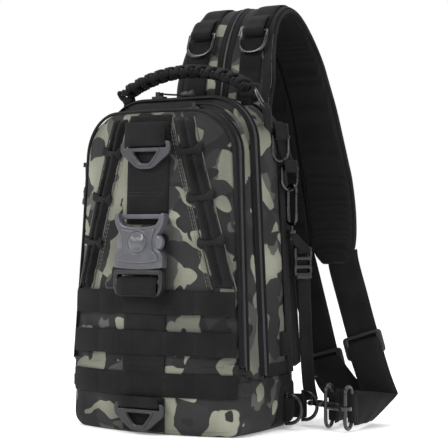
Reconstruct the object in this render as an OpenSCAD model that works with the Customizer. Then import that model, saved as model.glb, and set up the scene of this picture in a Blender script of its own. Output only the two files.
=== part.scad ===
// Convertible sling bag: a soft two-compartment shell with webbing, buckles, rings and
// a split shoulder strap.
// Origin: centre of the base, on the surface the bag stands on. -Y is the front face, +X the right-hand
// side seen from the front, +Z is up. Units are millimetres.

/* [Shell] */
// Width of the bag at its base
base_w = 214; // [200:1:230]
// Width of the front pocket at its top corners
top_w = 184; // [170:1:200]
// Height of the front pocket
pocket_h = 334; // [320:1:345]
// Height of the main compartment
main_h = 350; // [346:1:360]
// Radius of the pocket's top corners
corner_r = 46; // [35:1:60]
// Thickness of the padded fabric walls
wall = 3; // [2:0.5:4]
// How far the front face leans back, degrees
lean_deg = 2.5; // [0:0.5:4]

/* [Webbing] */
// Width of the centre webbing
centre_w = 52; // [48:1:52]
// Width of the ladder webbing bands
band_w = 25; // [20:1:27]
// Thickness of one layer of webbing
web_t = 1.5; // [1:0.1:2]

/* [Hardware] */
// Radius of the wire in the D-rings
wire_r = 2; // [1.5:0.1:2.2]
// Thickness of the triangular rings
plate_t = 4; // [3:0.5:5]
// Outer width of the side-release buckle
buckle_w = 62; // [58:1:66]

/* [Hidden] */
$fn = 48;
run = 0.3;              // clearance between pieces that move past each other
back_y = 60;            // rear face of the bag
zip_main_y = -8;        // where the main zip parts
zip_pocket_y = -47.7;   // where the pocket zip parts, in the leaning frame
step_y = -24;           // where the pocket's outline steps up to the main outline
edge_y = -57;           // corner line between the front face and the sides
front_y = -77;          // foremost line of the curved front face
flap_z = 66.2;          // fold that the main flap opens about
fold_z = 70.2;          // fold that the pocket flap opens about
seam_z = 58;            // top of the tub behind the main zip
zip_end_z = 54;         // lower end of the main zip
floor_t = 6;            // thickness of the stiff floor
bulge_r = (pow(base_w / 2 - 5, 2) + pow(edge_y - front_y, 2)) / (2 * (edge_y - front_y));
bulge_y = front_y + bulge_r;
big = 400;
fine = 200;             // facets of the large curved front face

// Outlines seen from the front: [base width, top width, height, top corner radius, base corner radius].
POCKET = [base_w, top_w, pocket_h, corner_r, 16];
MAIN = [base_w, top_w + 2, main_h, corner_r + 4, 16];

// ---------- shared shapes ----------

// Half of a rounded trapezoid, drawn inwards by i, and the whole of it.
function half_outline(o, i) = concat(
    [for (a = [-90:15:0]) [o[0] / 2 - o[4] + (o[4] - i) * cos(a), o[4] + (o[4] - i) * sin(a)]],
    [for (a = [0:10:90]) [o[1] / 2 - o[3] + (o[3] - i) * cos(a), o[2] - o[3] + (o[3] - i) * sin(a)]]);
function outline(o, i) = let (h = half_outline(o, i), n = len(h))
    concat(h, [for (k = [n - 1:-1:0]) [-h[k][0], h[k][1]]]);

// Prism of an outline between two depths.
module slab(y0, y1, o, i = 0) {
    translate([0, y1, 0]) rotate([90, 0, 0]) linear_extrude(y1 - y0) polygon(outline(o, i));
}

// Everything behind the curved front face, drawn inwards by i.
module behind_front(i = 0) {
    translate([0, bulge_y, -20]) cylinder(r = bulge_r - i, h = big + 60, $fn = fine);
}

// Block given by its two opposite corners.
module block(a, b) {
    translate(a) cube(b - a);
}

// Wire or cord segment between two points.
module rod(a, b, r) {
    d = b - a;
    translate(a) rotate([0, acos(d[2] / norm(d)), atan2(d[1], d[0])]) cylinder(r = r, h = norm(d), $fn = 24);
}

// The leaning frame of the front pocket.
module lean() {
    translate([0, edge_y, fold_z]) rotate([-lean_deg, 0, 0]) translate([0, -edge_y, -fold_z]) children();
}

// Everything above the slanting rim of the tub's front half, raised by d.
rim_slope = (flap_z - zip_end_z) / (zip_main_y - front_y);
module above_rim(d) {
    translate([-big / 2, 0, 0]) rotate([90, 0, 90]) linear_extrude(big)
        polygon([[-120, zip_end_z + d + rim_slope * (zip_main_y + 120)], [zip_main_y, zip_end_z + d],
            [big, zip_end_z + d], [big, big * 2], [-120, big * 2]]);
}

// Curved layer lying on the front face, from depth a to depth b in front of it.
module front_layer(a, b, x0, x1, z0, z1) {
    intersection() {
        difference() {
            translate([0, bulge_y, z0]) cylinder(r = bulge_r + b, h = z1 - z0, $fn = fine);
            translate([0, bulge_y, z0 - 1]) cylinder(r = bulge_r + a, h = z1 - z0 + 2, $fn = fine);
        }
        block([x0, -120, z0 - 1], [x1, 0, z1 + 1]);
    }
}

// Band that follows an outline's sides and top, standing out from a to b.
module zip_band(y0, y1, o, a, b, z0) {
    intersection() {
        difference() {
            slab(y0, y1, o, -b);
            slab(y0 - 1, y1 + 1, o, -a);
        }
        block([-big, -120, z0], [big, 120, big]);
    }
}

// One side of a zip: tape plus the raised coil at its edge; s is the side the tape lies on.
module zip_side(y, o, z0, s) {
    zip_band(min(y, y + s * 9.6), max(y, y + s * 9.6), o, 0.2, 1.2, z0);
    zip_band(min(y, y + s * 2.5), max(y, y + s * 2.5), o, 1.1, 2.6, z0);
}

// Sleeve of webbing round a bar along X, with a tail that goes up.
module bar_loop(w, r, tail) {
    difference() {
        union() {
            rotate([0, 90, 0]) cylinder(r = r + web_t, h = w, center = true);
            translate([-w / 2, -web_t, 0]) cube([w, 2 * web_t, tail]);
        }
        rotate([0, 90, 0]) cylinder(r = r, h = w + 2, center = true);
    }
}

// D-ring of round wire: straight bar along X at the origin, bow hanging down.
module d_ring(w, h, r = wire_r) {
    bow = w / 2;
    rotate([0, 90, 0]) cylinder(r = r, h = w + 2 * r, center = true);
    for (s = [-1, 1]) translate([s * bow, 0, bow - h]) cylinder(r = r, h = h - bow);
    translate([0, 0, bow - h]) rotate([90, 0, 0]) rotate([0, 0, 180])
        rotate_extrude(angle = 180) translate([bow, 0]) circle(r = r, $fn = 24);
}

// Oval link of round wire standing upright in the YZ plane, centred on the origin.
module oval_ring(w, h, r) {
    bow = w / 2;
    leg = h - 2 * r - w;
    for (s = [-1, 1]) {
        translate([0, s * bow, -leg / 2]) cylinder(r = r, h = leg);
        translate([0, 0, s * leg / 2]) rotate([90, 0, 90]) rotate([0, 0, s > 0 ? 0 : 180])
            rotate_extrude(angle = 180) translate([bow, 0]) circle(r = r, $fn = 24);
    }
}

// Flat strip through pairs of edge points, [[left, right], ...], of thickness t.
function unit(v) = v / norm(v);
function strip_normal(p, k) = let (a = max(k - 1, 0), b = min(k + 1, len(p) - 1))
    unit(cross(p[k][1] - p[k][0], (p[b][0] + p[b][1]) / 2 - (p[a][0] + p[a][1]) / 2));
module strip(p, t) {
    n = len(p);
    points = [for (k = [0:n - 1]) let (d = strip_normal(p, k) * t / 2)
        each [p[k][0] - d, p[k][1] - d, p[k][1] + d, p[k][0] + d]];
    sides = [for (k = [0:n - 2]) for (j = [0:3]) let (m = (j + 1) % 4)
        each [[4 * k + j, 4 * k + m, 4 * k + 4 + j], [4 * k + m, 4 * k + 4 + m, 4 * k + 4 + j]]];
    caps = [[0, 2, 1], [0, 3, 2], [4 * n - 4, 4 * n - 3, 4 * n - 2], [4 * n - 4, 4 * n - 2, 4 * n - 1]];
    polyhedron(points, concat(sides, caps));
}

// ---------- main shell ----------

// Stiffened lower tub, open at the top.
module bottom_tub() color([0.26, 0.27, 0.24]) {
    difference() {
        intersection() {
            slab(-90, back_y, MAIN);
            behind_front();
        }
        difference() {
            slab(-90, back_y - wall, MAIN, wall);
            block([-big, -120, 0], [big, 120, floor_t]);
            difference() {
                block([-big, -120, -20], [big, 0, big]);
                behind_front(wall);
            }
        }
        above_rim(0);
        block([-big, zip_main_y, seam_z], [big, 120, big]);
        block([-big, zip_main_y - 1, zip_end_z], [big, zip_main_y + run, big]);
    }
}

// Rear half of the main compartment.
module rear_shell() color([0.4, 0.42, 0.36]) {
    difference() {
        slab(zip_main_y + run, back_y, MAIN);
        slab(zip_main_y - 1, back_y - wall, MAIN, wall);
        block([-big, -120, -10], [big, 120, seam_z + 0.2]);
        block([-big, -120, -10], [big, zip_main_y + run + 1.8, fold_z + 9]);
    }
}

// Mesh-covered pads on the outside of the back.
module back_pads() color([0.07, 0.07, 0.07])
    for (s = [-1, 1]) block([s > 0 ? 6 : -82, back_y + 0.2, 44], [s > 0 ? 82 : -6, back_y + 9, 300]);

// Open-topped document sleeve against the back.
module inner_sleeve() color([0.15, 0.15, 0.16])
    difference() {
        block([-78, 38, floor_t + 4], [78, back_y - wall - 2.6, 210]);
        block([-76, 40, floor_t + 6], [76, back_y - wall - 4.6, 220]);
    }

// Front box of the main compartment; it is also the back and rim of the front pocket.
module mid_frame() color([0.4, 0.42, 0.36]) {
    difference() {
        union() {
            intersection() {
                lean() slab(zip_pocket_y, step_y + 4, POCKET);
                above_rim(0.4);
            }
            intersection() {
                slab(step_y, zip_main_y, MAIN);
                above_rim(0.4);
            }
            intersection() {
                slab(-90, step_y + 4, MAIN);
                behind_front();
                above_rim(0.4);
                block([-big, -120, 0], [big, 120, fold_z - 0.8]);
            }
        }
        intersection() {
            lean() slab(-90, step_y - 6, POCKET, wall);
            block([-big, -120, fold_z - 1], [big, 120, big]);
        }
        slab(step_y + wall, big / 4, MAIN, wall);
    }
}

module main_zip_rear_tape() color([0.09, 0.09, 0.1]) zip_side(zip_main_y + run, MAIN, fold_z + 10, 1);
module main_zip_front_tape() color([0.09, 0.09, 0.1]) zip_side(zip_main_y, MAIN, fold_z, -1);
module pocket_zip_rear_tape() color([0.09, 0.09, 0.1]) lean() zip_side(zip_pocket_y, POCKET, fold_z + 3, 1);
module pocket_zip_front_tape() color([0.09, 0.09, 0.1])
    lean() zip_side(zip_pocket_y - run, POCKET, fold_z + 3, -1);

// ---------- front pocket flap ----------

module front_cover() color([0.45, 0.47, 0.4])
    lean() difference() {
        intersection() {
            slab(-90, zip_pocket_y - run, POCKET);
            behind_front();
            block([-big, -120, fold_z + 0.6], [big, 120, big]);
        }
        intersection() {
            slab(-90, 0, POCKET, wall);
            behind_front(wall);
            block([-big, -120, fold_z + wall], [big, 120, big]);
        }
    }

// Centre webbing above and below the buckle, with the sleeve that holds the upper ring.
module centre_webbing() color([0.1, 0.1, 0.1]) lean() {
    front_layer(0.1, 0.1 + web_t, -centre_w / 2, centre_w / 2, 216, pocket_h - 2);
    front_layer(0.1, 0.1 + web_t, -centre_w / 2, centre_w / 2, fold_z + 4, 134);
    translate([0, ring_y, tri_z]) bar_loop(50, bar_r + run, 22);
}

// Two upper ladder bands, each cut to the panel's width: [height, half width].
module ladder_bands() color([0.08, 0.08, 0.08])
    for (b = [[81, 101.3], [123, 99.1]])
        lean() front_layer(0.2 + web_t, 0.2 + 2 * web_t, -b[1], b[1], b[0], b[0] + band_w);

// Lowest ladder band, on the tub.
module lower_ladder_band() color([0.08, 0.08, 0.08])
    front_layer(0.1, 0.1 + web_t, 5 - base_w / 2, base_w / 2 - 5, 39, 39 + band_w);

// Gathered loop webbing that runs down each side of the front panel.
module diagonal_loops() color([0.1, 0.1, 0.1])
    for (s = [-1, 1]) lean() intersection() {
        difference() {
            translate([0, bulge_y, 0]) cylinder(r = bulge_r + 6, h = big, $fn = fine);
            translate([0, bulge_y, -1]) cylinder(r = bulge_r + 0.2, h = big + 2, $fn = fine);
        }
        translate([0, -50, 0]) rotate([90, 0, 0]) linear_extrude(60)
            polygon([for (p = [[28, 326], [50, 326], [97, 152], [75, 152]]) [s * p[0], p[1]]]);
    }

// ---------- triangular rings and the buckle ----------

tri_z = 300;            // upper ring's bar
low_tri_z = 31;         // lower ring's bar
ring_y = front_y - 5.6; // depth of the upper ring
low_ring_y = front_y - 7.4;
bar_r = 1.8;

// Triangular ring: bar on the origin, frame hanging below it.
module triangle_ring() {
    rotate([0, 90, 0]) cylinder(r = bar_r, h = 56, center = true);
    for (s = [-1, 1]) translate([s * 28.5 - 1.5, -plate_t / 2, -9]) cube([3, plate_t, 11]);
    translate([0, plate_t / 2, 0]) rotate([90, 0, 0]) linear_extrude(plate_t) difference() {
        polygon([[-30, -5], [-30, -11], [-8, -27], [8, -27], [30, -11], [30, -5]]);
        polygon([[-14, -10.5], [14, -10.5], [4, -21], [-4, -21]]);
    }
}

module upper_triangle_ring() color([0.32, 0.32, 0.35])
    lean() translate([0, ring_y, tri_z]) triangle_ring();
module lower_ring_loop() color([0.1, 0.1, 0.1]) {
    translate([0, low_ring_y, low_tri_z]) bar_loop(50, bar_r + run, 5);
    front_layer(0.1, 0.1 + web_t, -centre_w / 2, centre_w / 2, 2, 38);
}
module lower_triangle_ring() color([0.2, 0.2, 0.22])
    translate([0, low_ring_y, low_tri_z]) triangle_ring();

buckle_y = front_y - 4.4;     // rear face of the buckle
buckle_mid = 170;             // height where the two halves meet
module buckle_profile() {
    w = buckle_w / 2;
    polygon([[-w, 0], [w, 0], [w, 16], [w - 5, 22], [w - 7, 31], [w - 5, 40], [w, 49], [w, 56],
        [-w, 56], [-w, 49], [5 - w, 40], [7 - w, 31], [5 - w, 22], [-w, 16]]);
}
module buckle_socket() color([0.3, 0.3, 0.33])
    lean() translate([0, buckle_y, buckle_mid]) rotate([90, 0, 0]) difference() {
        linear_extrude(13) buckle_profile();
        translate([-27, -1, 2.2]) cube([54, 43, 8.6]);
        translate([-26, 45.5, -1]) cube([52, 5, 16]);
    }
module buckle_plug() color([0.2, 0.2, 0.22])
    lean() translate([0, buckle_y, buckle_mid]) rotate([90, 0, 0]) {
        difference() {
            translate([-30, -29, 0.5]) cube([60, 28.4, 12]);
            translate([-26, -24, -1]) cube([52, 8, 15]);
            translate([-26, -12, -1]) cube([52, 4.4, 15]);
        }
        translate([-6, -1, 3.2]) cube([12, 34, 6.6]);
    }
// Sprung arm of the plug; it bends inwards about its root.
module buckle_arm(s) {
    lean() translate([s * 15, buckle_y, buckle_mid]) rotate([90, 0, 0])
        translate([0, 0, 3.4]) linear_extrude(6.2)
            polygon([for (p = [[-2, 0.2], [5, 0.2], [9.5, 20], [10.5, 30], [8, 38], [1, 38], [3, 20]])
                [s * p[0], p[1]]]);
}
module buckle_arm_left() color([0.3, 0.3, 0.33]) buckle_arm(-1);
module buckle_arm_right() color([0.3, 0.3, 0.33]) buckle_arm(1);
// Short webbing that ties the plug to the centre webbing.
module plug_webbing() color([0.1, 0.1, 0.1])
    lean() difference() {
        translate([-25, buckle_y - 14, buckle_mid - 29.5]) cube([50, 14.9, 13]);
        translate([-26, buckle_y - 12.7, buckle_mid - 33]) cube([52, 12.9, 16.2 - 1]);
    }

// ---------- zip sliders and pulls ----------

slide_h = 3.1;          // underside of a slider above the shell
eye_h = 9;              // pull's axis above the shell
pocket_top_x = 38;
main_top_x = -26;
pocket_side_z = 282;
main_side_z = 300;

// Slider on a zip at the origin: the chain runs along X, outwards is +Z.
module zip_slider() {
    translate([-7, -4.6, slide_h]) cube([14, 9.2, 2.6]);
    for (s = [-1, 1]) translate([-2.5, s * 3.4 - 0.8, slide_h + 2]) cube([5, 1.6, 5.4]);
    translate([0, 0, eye_h]) rotate([90, 0, 0]) cylinder(r = 1, h = 6.8, center = true);
}
// Eye of a pull, turning on the slider's bar, and the cord loop that leaves it.
module pull_eye(reach) {
    difference() {
        translate([0, 0, eye_h]) rotate([90, 0, 0]) cylinder(r = 2.3, h = 4, center = true);
        translate([0, 0, eye_h]) rotate([90, 0, 0]) cylinder(r = 1.3, h = 6, center = true);
    }
    for (s = [-1, 1]) translate([1.8, s * 1.1 - 0.9, eye_h - 0.9]) cube([reach, 1.8, 1.8]);
}
// Straight pull lying along +X.
module zip_pull() {
    pull_eye(22);
    translate([22, -4.5, eye_h - 2.4]) cube([24, 9, 4.8]);
}
// Places a slider on a top stretch.
module on_pocket_top() { lean() translate([pocket_top_x, zip_pocket_y, pocket_h]) children(); }
module on_main_top() { translate([main_top_x, zip_main_y, main_h]) children(); }
// Places a slider on the left-hand side of a zip at height z, chain direction pointing down.
function side_x(o, z) = o[0] / 2 + (z - o[4]) / (o[2] - o[3] - o[4]) * (o[1] - o[0]) / 2;
function side_tilt(o) = atan2((o[0] - o[1]) / 2, o[2] - o[3] - o[4]);
module on_side(y, z, o) {
    translate([-side_x(o, z), y, z]) rotate([0, side_tilt(o) + 90, 0]) rotate([180, 0, 0]) children();
}

module pocket_slider_top() color([0.15, 0.15, 0.15]) on_pocket_top() zip_slider();
// Pull of the top slider, bent round the pocket's corner.
module pocket_pull_top() color([0.12, 0.12, 0.12]) on_pocket_top() {
    pull_eye(14);
    translate([top_w / 2 - corner_r - pocket_top_x, 0, -corner_r]) rotate([90, 0, 0]) {
        rotate([0, 0, 48]) rotate_extrude(angle = 34) translate([corner_r + 9, 0]) circle(r = 1.6, $fn = 24);
        rotate([0, 0, 22]) rotate_extrude(angle = 28) translate([corner_r + 9, 0]) circle(r = 3.2, $fn = 24);
    }
}
module main_slider_top() color([0.15, 0.15, 0.15]) on_main_top() zip_slider();
module main_pull_top() color([0.12, 0.12, 0.12]) on_main_top() zip_pull();
module at_pocket_side() { lean() on_side(zip_pocket_y, pocket_side_z, POCKET) children(); }
module pocket_slider_side() color([0.15, 0.15, 0.15]) at_pocket_side() zip_slider();
module pocket_pull_side() color([0.12, 0.12, 0.12]) at_pocket_side() zip_pull();
module main_slider_side() color([0.15, 0.15, 0.15]) on_side(zip_main_y, main_side_z, MAIN) zip_slider();
module main_pull_side() color([0.12, 0.12, 0.12]) on_side(zip_main_y, main_side_z, MAIN) zip_pull();

// ---------- carry handle ----------

handle_y = 6;
handle_x = 76;            // half the distance between the handle's two eyes
handle_z = main_h + 5;    // height of its pivot
handle_rise = 18;
// Anchor loops; the shell's top falls away below them.
module handle_loops() color([0.1, 0.1, 0.1])
    for (s = [-1, 1]) translate([s * handle_x, handle_y, handle_z]) {
        difference() {
            union() {
                rotate([0, 90, 0]) cylinder(r = 3.6, h = 12, center = true);
                translate([-6, -3.6, -15]) cube([12, 7.2, 15]);
            }
            rotate([0, 90, 0]) cylinder(r = 1.9, h = 14, center = true);
            translate([-s * handle_x, -handle_y, -handle_z]) slab(0, 50, MAIN, -0.1);
        }
    }
module carry_handle() color([0.13, 0.13, 0.13]) translate([0, handle_y, handle_z]) {
    half = handle_x - 2;
    arc_r = (half * half + handle_rise * handle_rise) / (2 * handle_rise);
    for (s = [-1, 1]) {
        translate([s * handle_x, 0, 0]) rotate([0, 90, 0]) cylinder(r = 1.6, h = 18, center = true);
        for (t = [-8, 8]) translate([s * handle_x + t - 1.2, -1.6, -1.6]) cube([2.4, 3.2, 14]);
        translate([s * handle_x - 9.2, -5, 8]) cube([18.4, 10, 5]);
    }
    intersection() {
        translate([0, 0, 10 + handle_rise - arc_r]) rotate([90, 0, 0]) difference() {
            cylinder(r = arc_r + 5, h = 24, center = true, $fn = 120);
            cylinder(r = arc_r - 5, h = 26, center = true, $fn = 120);
        }
        block([-handle_x - 9, -20, 8.5], [handle_x + 9, 20, 60]);
    }
}

// ---------- shoulder strap ----------

// Stations down the strap: left edge, centre seam and right edge in X, then Y and Z, from the bag's top,
// over the shoulder and down to where the halves part.
STRAP = [
    [-50, 9, 68, 65.7, 322], [-49, 10, 70, 66.2, 350], [-49, 12, 73, 68, 375], [-44, 13, 71, 72, 402],
    [-38, 15, 69, 80, 428], [-34, 18, 70, 90, 447], [-31, 21, 74, 104, 456], [-26, 26, 79, 119, 450],
    [-20, 32, 85, 133, 431], [-12, 41, 94, 142, 403], [-6, 48, 101, 146, 376], [0, 55, 109, 148, 347],
    [6, 61, 117, 148, 315], [11, 66, 124, 147, 288]];
// Below the seam each half goes on alone: left edge, right edge, Y, Z.
PAD_R = [[72.5, 130, 145, 266], [81, 137, 139, 233], [88, 141, 132, 204], [96, 140, 127, 186],
    [106, 132, 125, 175]];
PAD_L = [[14, 69, 147, 262], [24, 78, 142, 232], [32, 86, 135, 204], [40, 88, 132, 186],
    [50, 80, 131, 175]];
pad_t = 11;
// Lower webbing of each half: pairs of edge points down to the fold, then back to the oval ring.
WEB_R = [[[115, 123, 161.9], [151, 123, 173.2]], [[139.7, 120, 85.4], [175.5, 120, 96.7]],
    [[168.5, 118.5, 3.5], [199, 118.5, 34]]];
RUN_R = [[[184, 116, 3], [184, 116, 37]], [[176, 56.3, 5], [176, 56.3, 42]]];
WEB_L = [[[58.9, 129.7, 162.5], [95.1, 129.7, 172.9]], [[94.9, 126.4, 41.5], [131.1, 126.4, 51.9]],
    [[134, 128, 3.5], [158, 128, 33]]];
RUN_L = [[[146, 125, 3], [146, 125, 37]], [[150, 63.6, 5], [150, 63.6, 42]]];

function station(row, c0, c1) = [[row[c0], row[3], row[4]], [row[c1], row[3], row[4]]];
function pad_row(row) = [[row[0], row[2], row[3]], [row[1], row[2], row[3]]];
module strap_half(c0, c1, tail, d0, d1) {
    strip(concat([for (r = STRAP) let (s = station(r, c0, c1)) [s[0] + [d0, 0, 0], s[1] + [d1, 0, 0]]],
        [for (r = tail) pad_row(r)]), pad_t);
}
module strap_pad_left() color([0.08, 0.08, 0.08]) strap_half(0, 1, PAD_L, 0, -0.4);
module strap_pad_right() color([0.08, 0.08, 0.08]) strap_half(1, 2, PAD_R, 0.4, 0);

// A strip between two columns of stations, lifted off the strap's outer face.
function lifted(rows, d) = let (p = [for (r = rows) station(r, 0, 1)])
    [for (k = [0:len(p) - 1]) let (n = strip_normal(p, k)) [p[k][0] + n * d, p[k][1] + n * d]];
face = pad_t / 2 + 0.9;
ring_off = 34;          // strap rings' distance from the centre seam
// Zip tape down the seam and a column of webbing on each half.
module strap_webbing() color([0.1, 0.1, 0.1]) {
    above = concat([[-49, 10.3, 70.5, 66.6, 355]], [for (k = [2:13]) STRAP[k]]);
    strip(lifted([for (r = above) [r[1] - 9, r[1] + 9, 0, r[3], r[4]]], face), 1.2);
    for (s = [-1, 1])
        strip(lifted([for (k = [0:7]) let (r = above[k], c = r[1] + s * ring_off)
            [c - 14, c + 14, 0, r[3], r[4]]], face), 1.2);
}
strap_ring_y = 69.6;
strap_ring_z = 431.6;
module strap_ring_loops() color([0.1, 0.1, 0.1])
    for (s = [-1, 1]) translate([15 + s * ring_off, strap_ring_y, strap_ring_z]) rotate([-21, 0, 0])
        bar_loop(27, wire_r + run, 14);
module strap_ring(s) {
    translate([15 + s * ring_off, strap_ring_y, strap_ring_z]) rotate([-21, 0, 0]) d_ring(32, 27);
}
module strap_ring_left() color([0.25, 0.25, 0.27]) strap_ring(-1);
module strap_ring_right() color([0.25, 0.25, 0.27]) strap_ring(1);

module sling_web_left() color([0.07, 0.07, 0.07]) { strip(WEB_L, 1.8); strip(RUN_L, 1.8); }
module sling_web_right() color([0.07, 0.07, 0.07]) { strip(WEB_R, 1.8); strip(RUN_R, 1.8); }
// Sewn eyes at the ends of the webbing, round the far legs of the oval rings.
oval_w = 16;
oval_h = 48;
ring_r_at = [176, 44, 25];
ring_l_at = [150, 51.3, 25];
module sling_eyes() color([0.07, 0.07, 0.07])
    for (p = [ring_r_at, ring_l_at]) translate([p[0], p[1] + oval_w / 2, 10]) difference() {
        cylinder(r = wire_r + run + web_t, h = 28);
        translate([0, 0, -1]) cylinder(r = wire_r + run, h = 30);
    }
module oval_ring_right() color([0.15, 0.15, 0.15]) translate(ring_r_at) oval_ring(oval_w, oval_h, wire_r);
module oval_ring_left() color([0.15, 0.15, 0.15]) translate(ring_l_at) oval_ring(oval_w, oval_h, wire_r);

// Three-bar slider round a strap that runs along Z: outer bars in front of the strap,
// middle bar behind it.
module slider_bar() {
    bar_gap = 3.6;      // centre of each bar from the middle of the strap
    for (at = [[0, -bar_gap, -11], [0, -bar_gap, 11], [0, bar_gap, 0]])
        translate(at) rotate([0, 90, 0]) cylinder(r = 2, h = 43, center = true);
    for (s = [-1, 1]) translate([s * 22.5 - 1.5, -5.6, -13]) cube([3, 11.2, 26]);
}
slider_r_at = [159.7, 119.75, 84.8];
slider_l_at = [108.5, 126.8, 62.2];
module slider_bar_right() color([0.1, 0.1, 0.1])
    translate(slider_r_at) rotate([0, -17.5, 0]) rotate([-2.1, 0, 0]) slider_bar();
module slider_bar_left() color([0.1, 0.1, 0.1])
    translate(slider_l_at) rotate([0, -16.1, 0]) rotate([-1.5, 0, 0]) slider_bar();

// ---------- snap hook at the base ----------

hook_at = [176, 36, 25];
hook_turn = 149.5;
module at_hook() { translate(hook_at) rotate([0, 0, hook_turn]) children(); }
// Swivel eye round the near leg of the right oval ring.
module snap_eye() color([0.15, 0.15, 0.16]) at_hook() difference() {
    union() {
        cylinder(r = 7, h = 3.6, center = true);
        translate([5, 0, 0]) rotate([0, 90, 0]) cylinder(r = 3.4, h = 5);
    }
    cylinder(r = 4, h = 6, center = true);
    translate([6.4, 0, 0]) rotate([0, 90, 0]) cylinder(r = 1.5, h = 6);
}
module snap_hook() color([0.15, 0.15, 0.16]) at_hook() {
    translate([6.8, 0, 0]) rotate([0, 90, 0]) cylinder(r = 1.2, h = 5);
    translate([10.3, 0, 0]) rotate([0, 90, 0]) cylinder(r = 2.1, h = 30);
    difference() {
        union() {
            translate([56, 0, 0]) cylinder(r = 9.5, h = 5, center = true);
            translate([39.8, -8, -2.5]) cube([14.2, 16, 5]);
        }
        translate([56, 0, 0]) cylinder(r = 5.5, h = 7, center = true);
        translate([42, -5.5, -4]) cube([14, 11, 8]);
        translate([43, 3, -4]) cube([13.5, 8, 8]);
    }
}
module snap_hook_gate() color([0.35, 0.35, 0.36])
    at_hook() translate([43.4, 5.7, -1.5]) cube([12.6, 2, 3]);

// ---------- rings at the base ----------

base_ring_x = 111;
BASE_RINGS = [[1, 30], [1, 66], [-1, 66]];      // side and depth of each
module base_ring(k) {
    s = BASE_RINGS[k][0];
    y = BASE_RINGS[k][1];
    translate([s * base_ring_x, y, 21]) rotate([0, s * -90, 0]) d_ring(30, 17);
}
module base_ring_front() color([0.2, 0.2, 0.2]) base_ring(0);
module base_ring_rear() color([0.2, 0.2, 0.2]) base_ring(1);
module base_ring_left() color([0.2, 0.2, 0.2]) base_ring(2);
// Folded webbing tabs that hold the rings.
module base_ring_tabs() color([0.08, 0.08, 0.08])
    for (b = BASE_RINGS) translate([b[0] * base_ring_x, b[1], 0]) difference() {
        union() {
            translate([0, 0, 9]) cylinder(r = wire_r + run + web_t, h = 24);
            if (b[1] < back_y)
                translate([b[0] > 0 ? -3.8 : 0, -1.5, 17]) cube([3.8, 3, 16]);
            else
                translate([b[0] > 0 ? -20 : 0, -5.6, 17]) cube([20, 3, 16]);
        }
        translate([0, 0, 8]) cylinder(r = wire_r + run, h = 26);
    }

// ---------- right-hand side hardware ----------

// Frame of a piece hanging on the side: bar direction is the local X, outwards is the local -Y.
module side_at(p) { translate(p) rotate([0, 0, 70]) children(); }
side_ring_1 = [99.5, 36, 311];
side_ring_2 = [104, 48, 277];
module side_webbing() color([0.09, 0.09, 0.09]) {
    side_at(side_ring_1) bar_loop(18, wire_r - 0.4 + run, 12);
    side_at(side_ring_2) bar_loop(18, wire_r - 0.4 + run, 5);
    block([93.5, 30, 309], [95.5, 44, 326]);
    rod([94.5, 39, 318.5], [98.4, 46.8, 288], 1.6);
    block([107.2, 30, 78], [109.2, 46, 98]);
}
module side_ring_upper() color([0.3, 0.3, 0.3]) side_at(side_ring_1) d_ring(22, 27, wire_r - 0.4);
module side_ring_lower() color([0.3, 0.3, 0.3]) side_at(side_ring_2) d_ring(22, 23.2, wire_r - 0.4);

clip_at = [105.2, 51.3, 238];
// Snap clip: open oval whose top holds the lower ring and whose foot turns in the strap's eye.
module at_clip() { translate(clip_at) rotate([0, 0, 70]) children(); }
module side_clip() color([0.3, 0.3, 0.31]) at_clip() {
    difference() {
        oval_ring(13, 46, 2.1);
        translate([-4, -10, -8]) cube([8, 7, 20]);
    }
    translate([0, 0, -33]) cylinder(r = 1.7, h = 12);
    translate([0, 0, -34.5]) cylinder(r = 3.2, h = 2.2);
}
module side_clip_gate() color([0.4, 0.4, 0.41])
    at_clip() translate([0, -6.5, -7.7]) cylinder(r = 1.6, h = 19.2);
// Swivel collar with the webbing loop that holds the strap adjuster.
lock_at = [112, 63, 190];
module clip_collar() color([0.12, 0.12, 0.12]) {
    difference() {
        translate(clip_at - [0, 0, 32]) cylinder(r = 4.6, h = 5);
        translate(clip_at - [0, 0, 33]) cylinder(r = 2.1, h = 8);
    }
    difference() {
        translate(clip_at - [0, 0, 38.5]) cylinder(r = 4.6, h = 7);
        translate(clip_at - [0, 0, 37]) cylinder(r = 3.7, h = 8);
    }
    half_w = [3.4, 9.4, 0];
    strip([for (p = [clip_at - [0, 0, 39], lock_at + [0, 0, 4.4]]) [p - half_w, p + half_w]], 2);
    side_at(lock_at) bar_loop(18, 2.1, 4);
}
// Ladder-lock adjuster, turning on its upper bar.
module ladder_lock() color([0.13, 0.13, 0.13]) side_at(lock_at) {
    rotate([0, 90, 0]) cylinder(r = 1.8, h = 24, center = true);
    for (s = [-1, 1]) translate([s * 11.5 - 1.5, -2.5, -28]) cube([3, 5, 30.5]);
    for (z = [-10, -19]) translate([0, 0, z]) rotate([0, 90, 0]) cylinder(r = 1.8, h = 23, center = true);
    translate([-10.5, -2.5, -30]) cube([21, 3, 4]);
}
// Narrow strap from the adjuster to the base.
module side_strap() color([0.1, 0.1, 0.1])
    strip([for (p = [[110, 68, 172], [110.3, 68.6, 155], [111, 70, 120], [111, 72, 90], [112, 76.5, 45],
        [114, 80, 26]])
        [p - [3.2, 8.6, 0], p + [3.2, 8.6, 0]]], 1.5);

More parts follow.
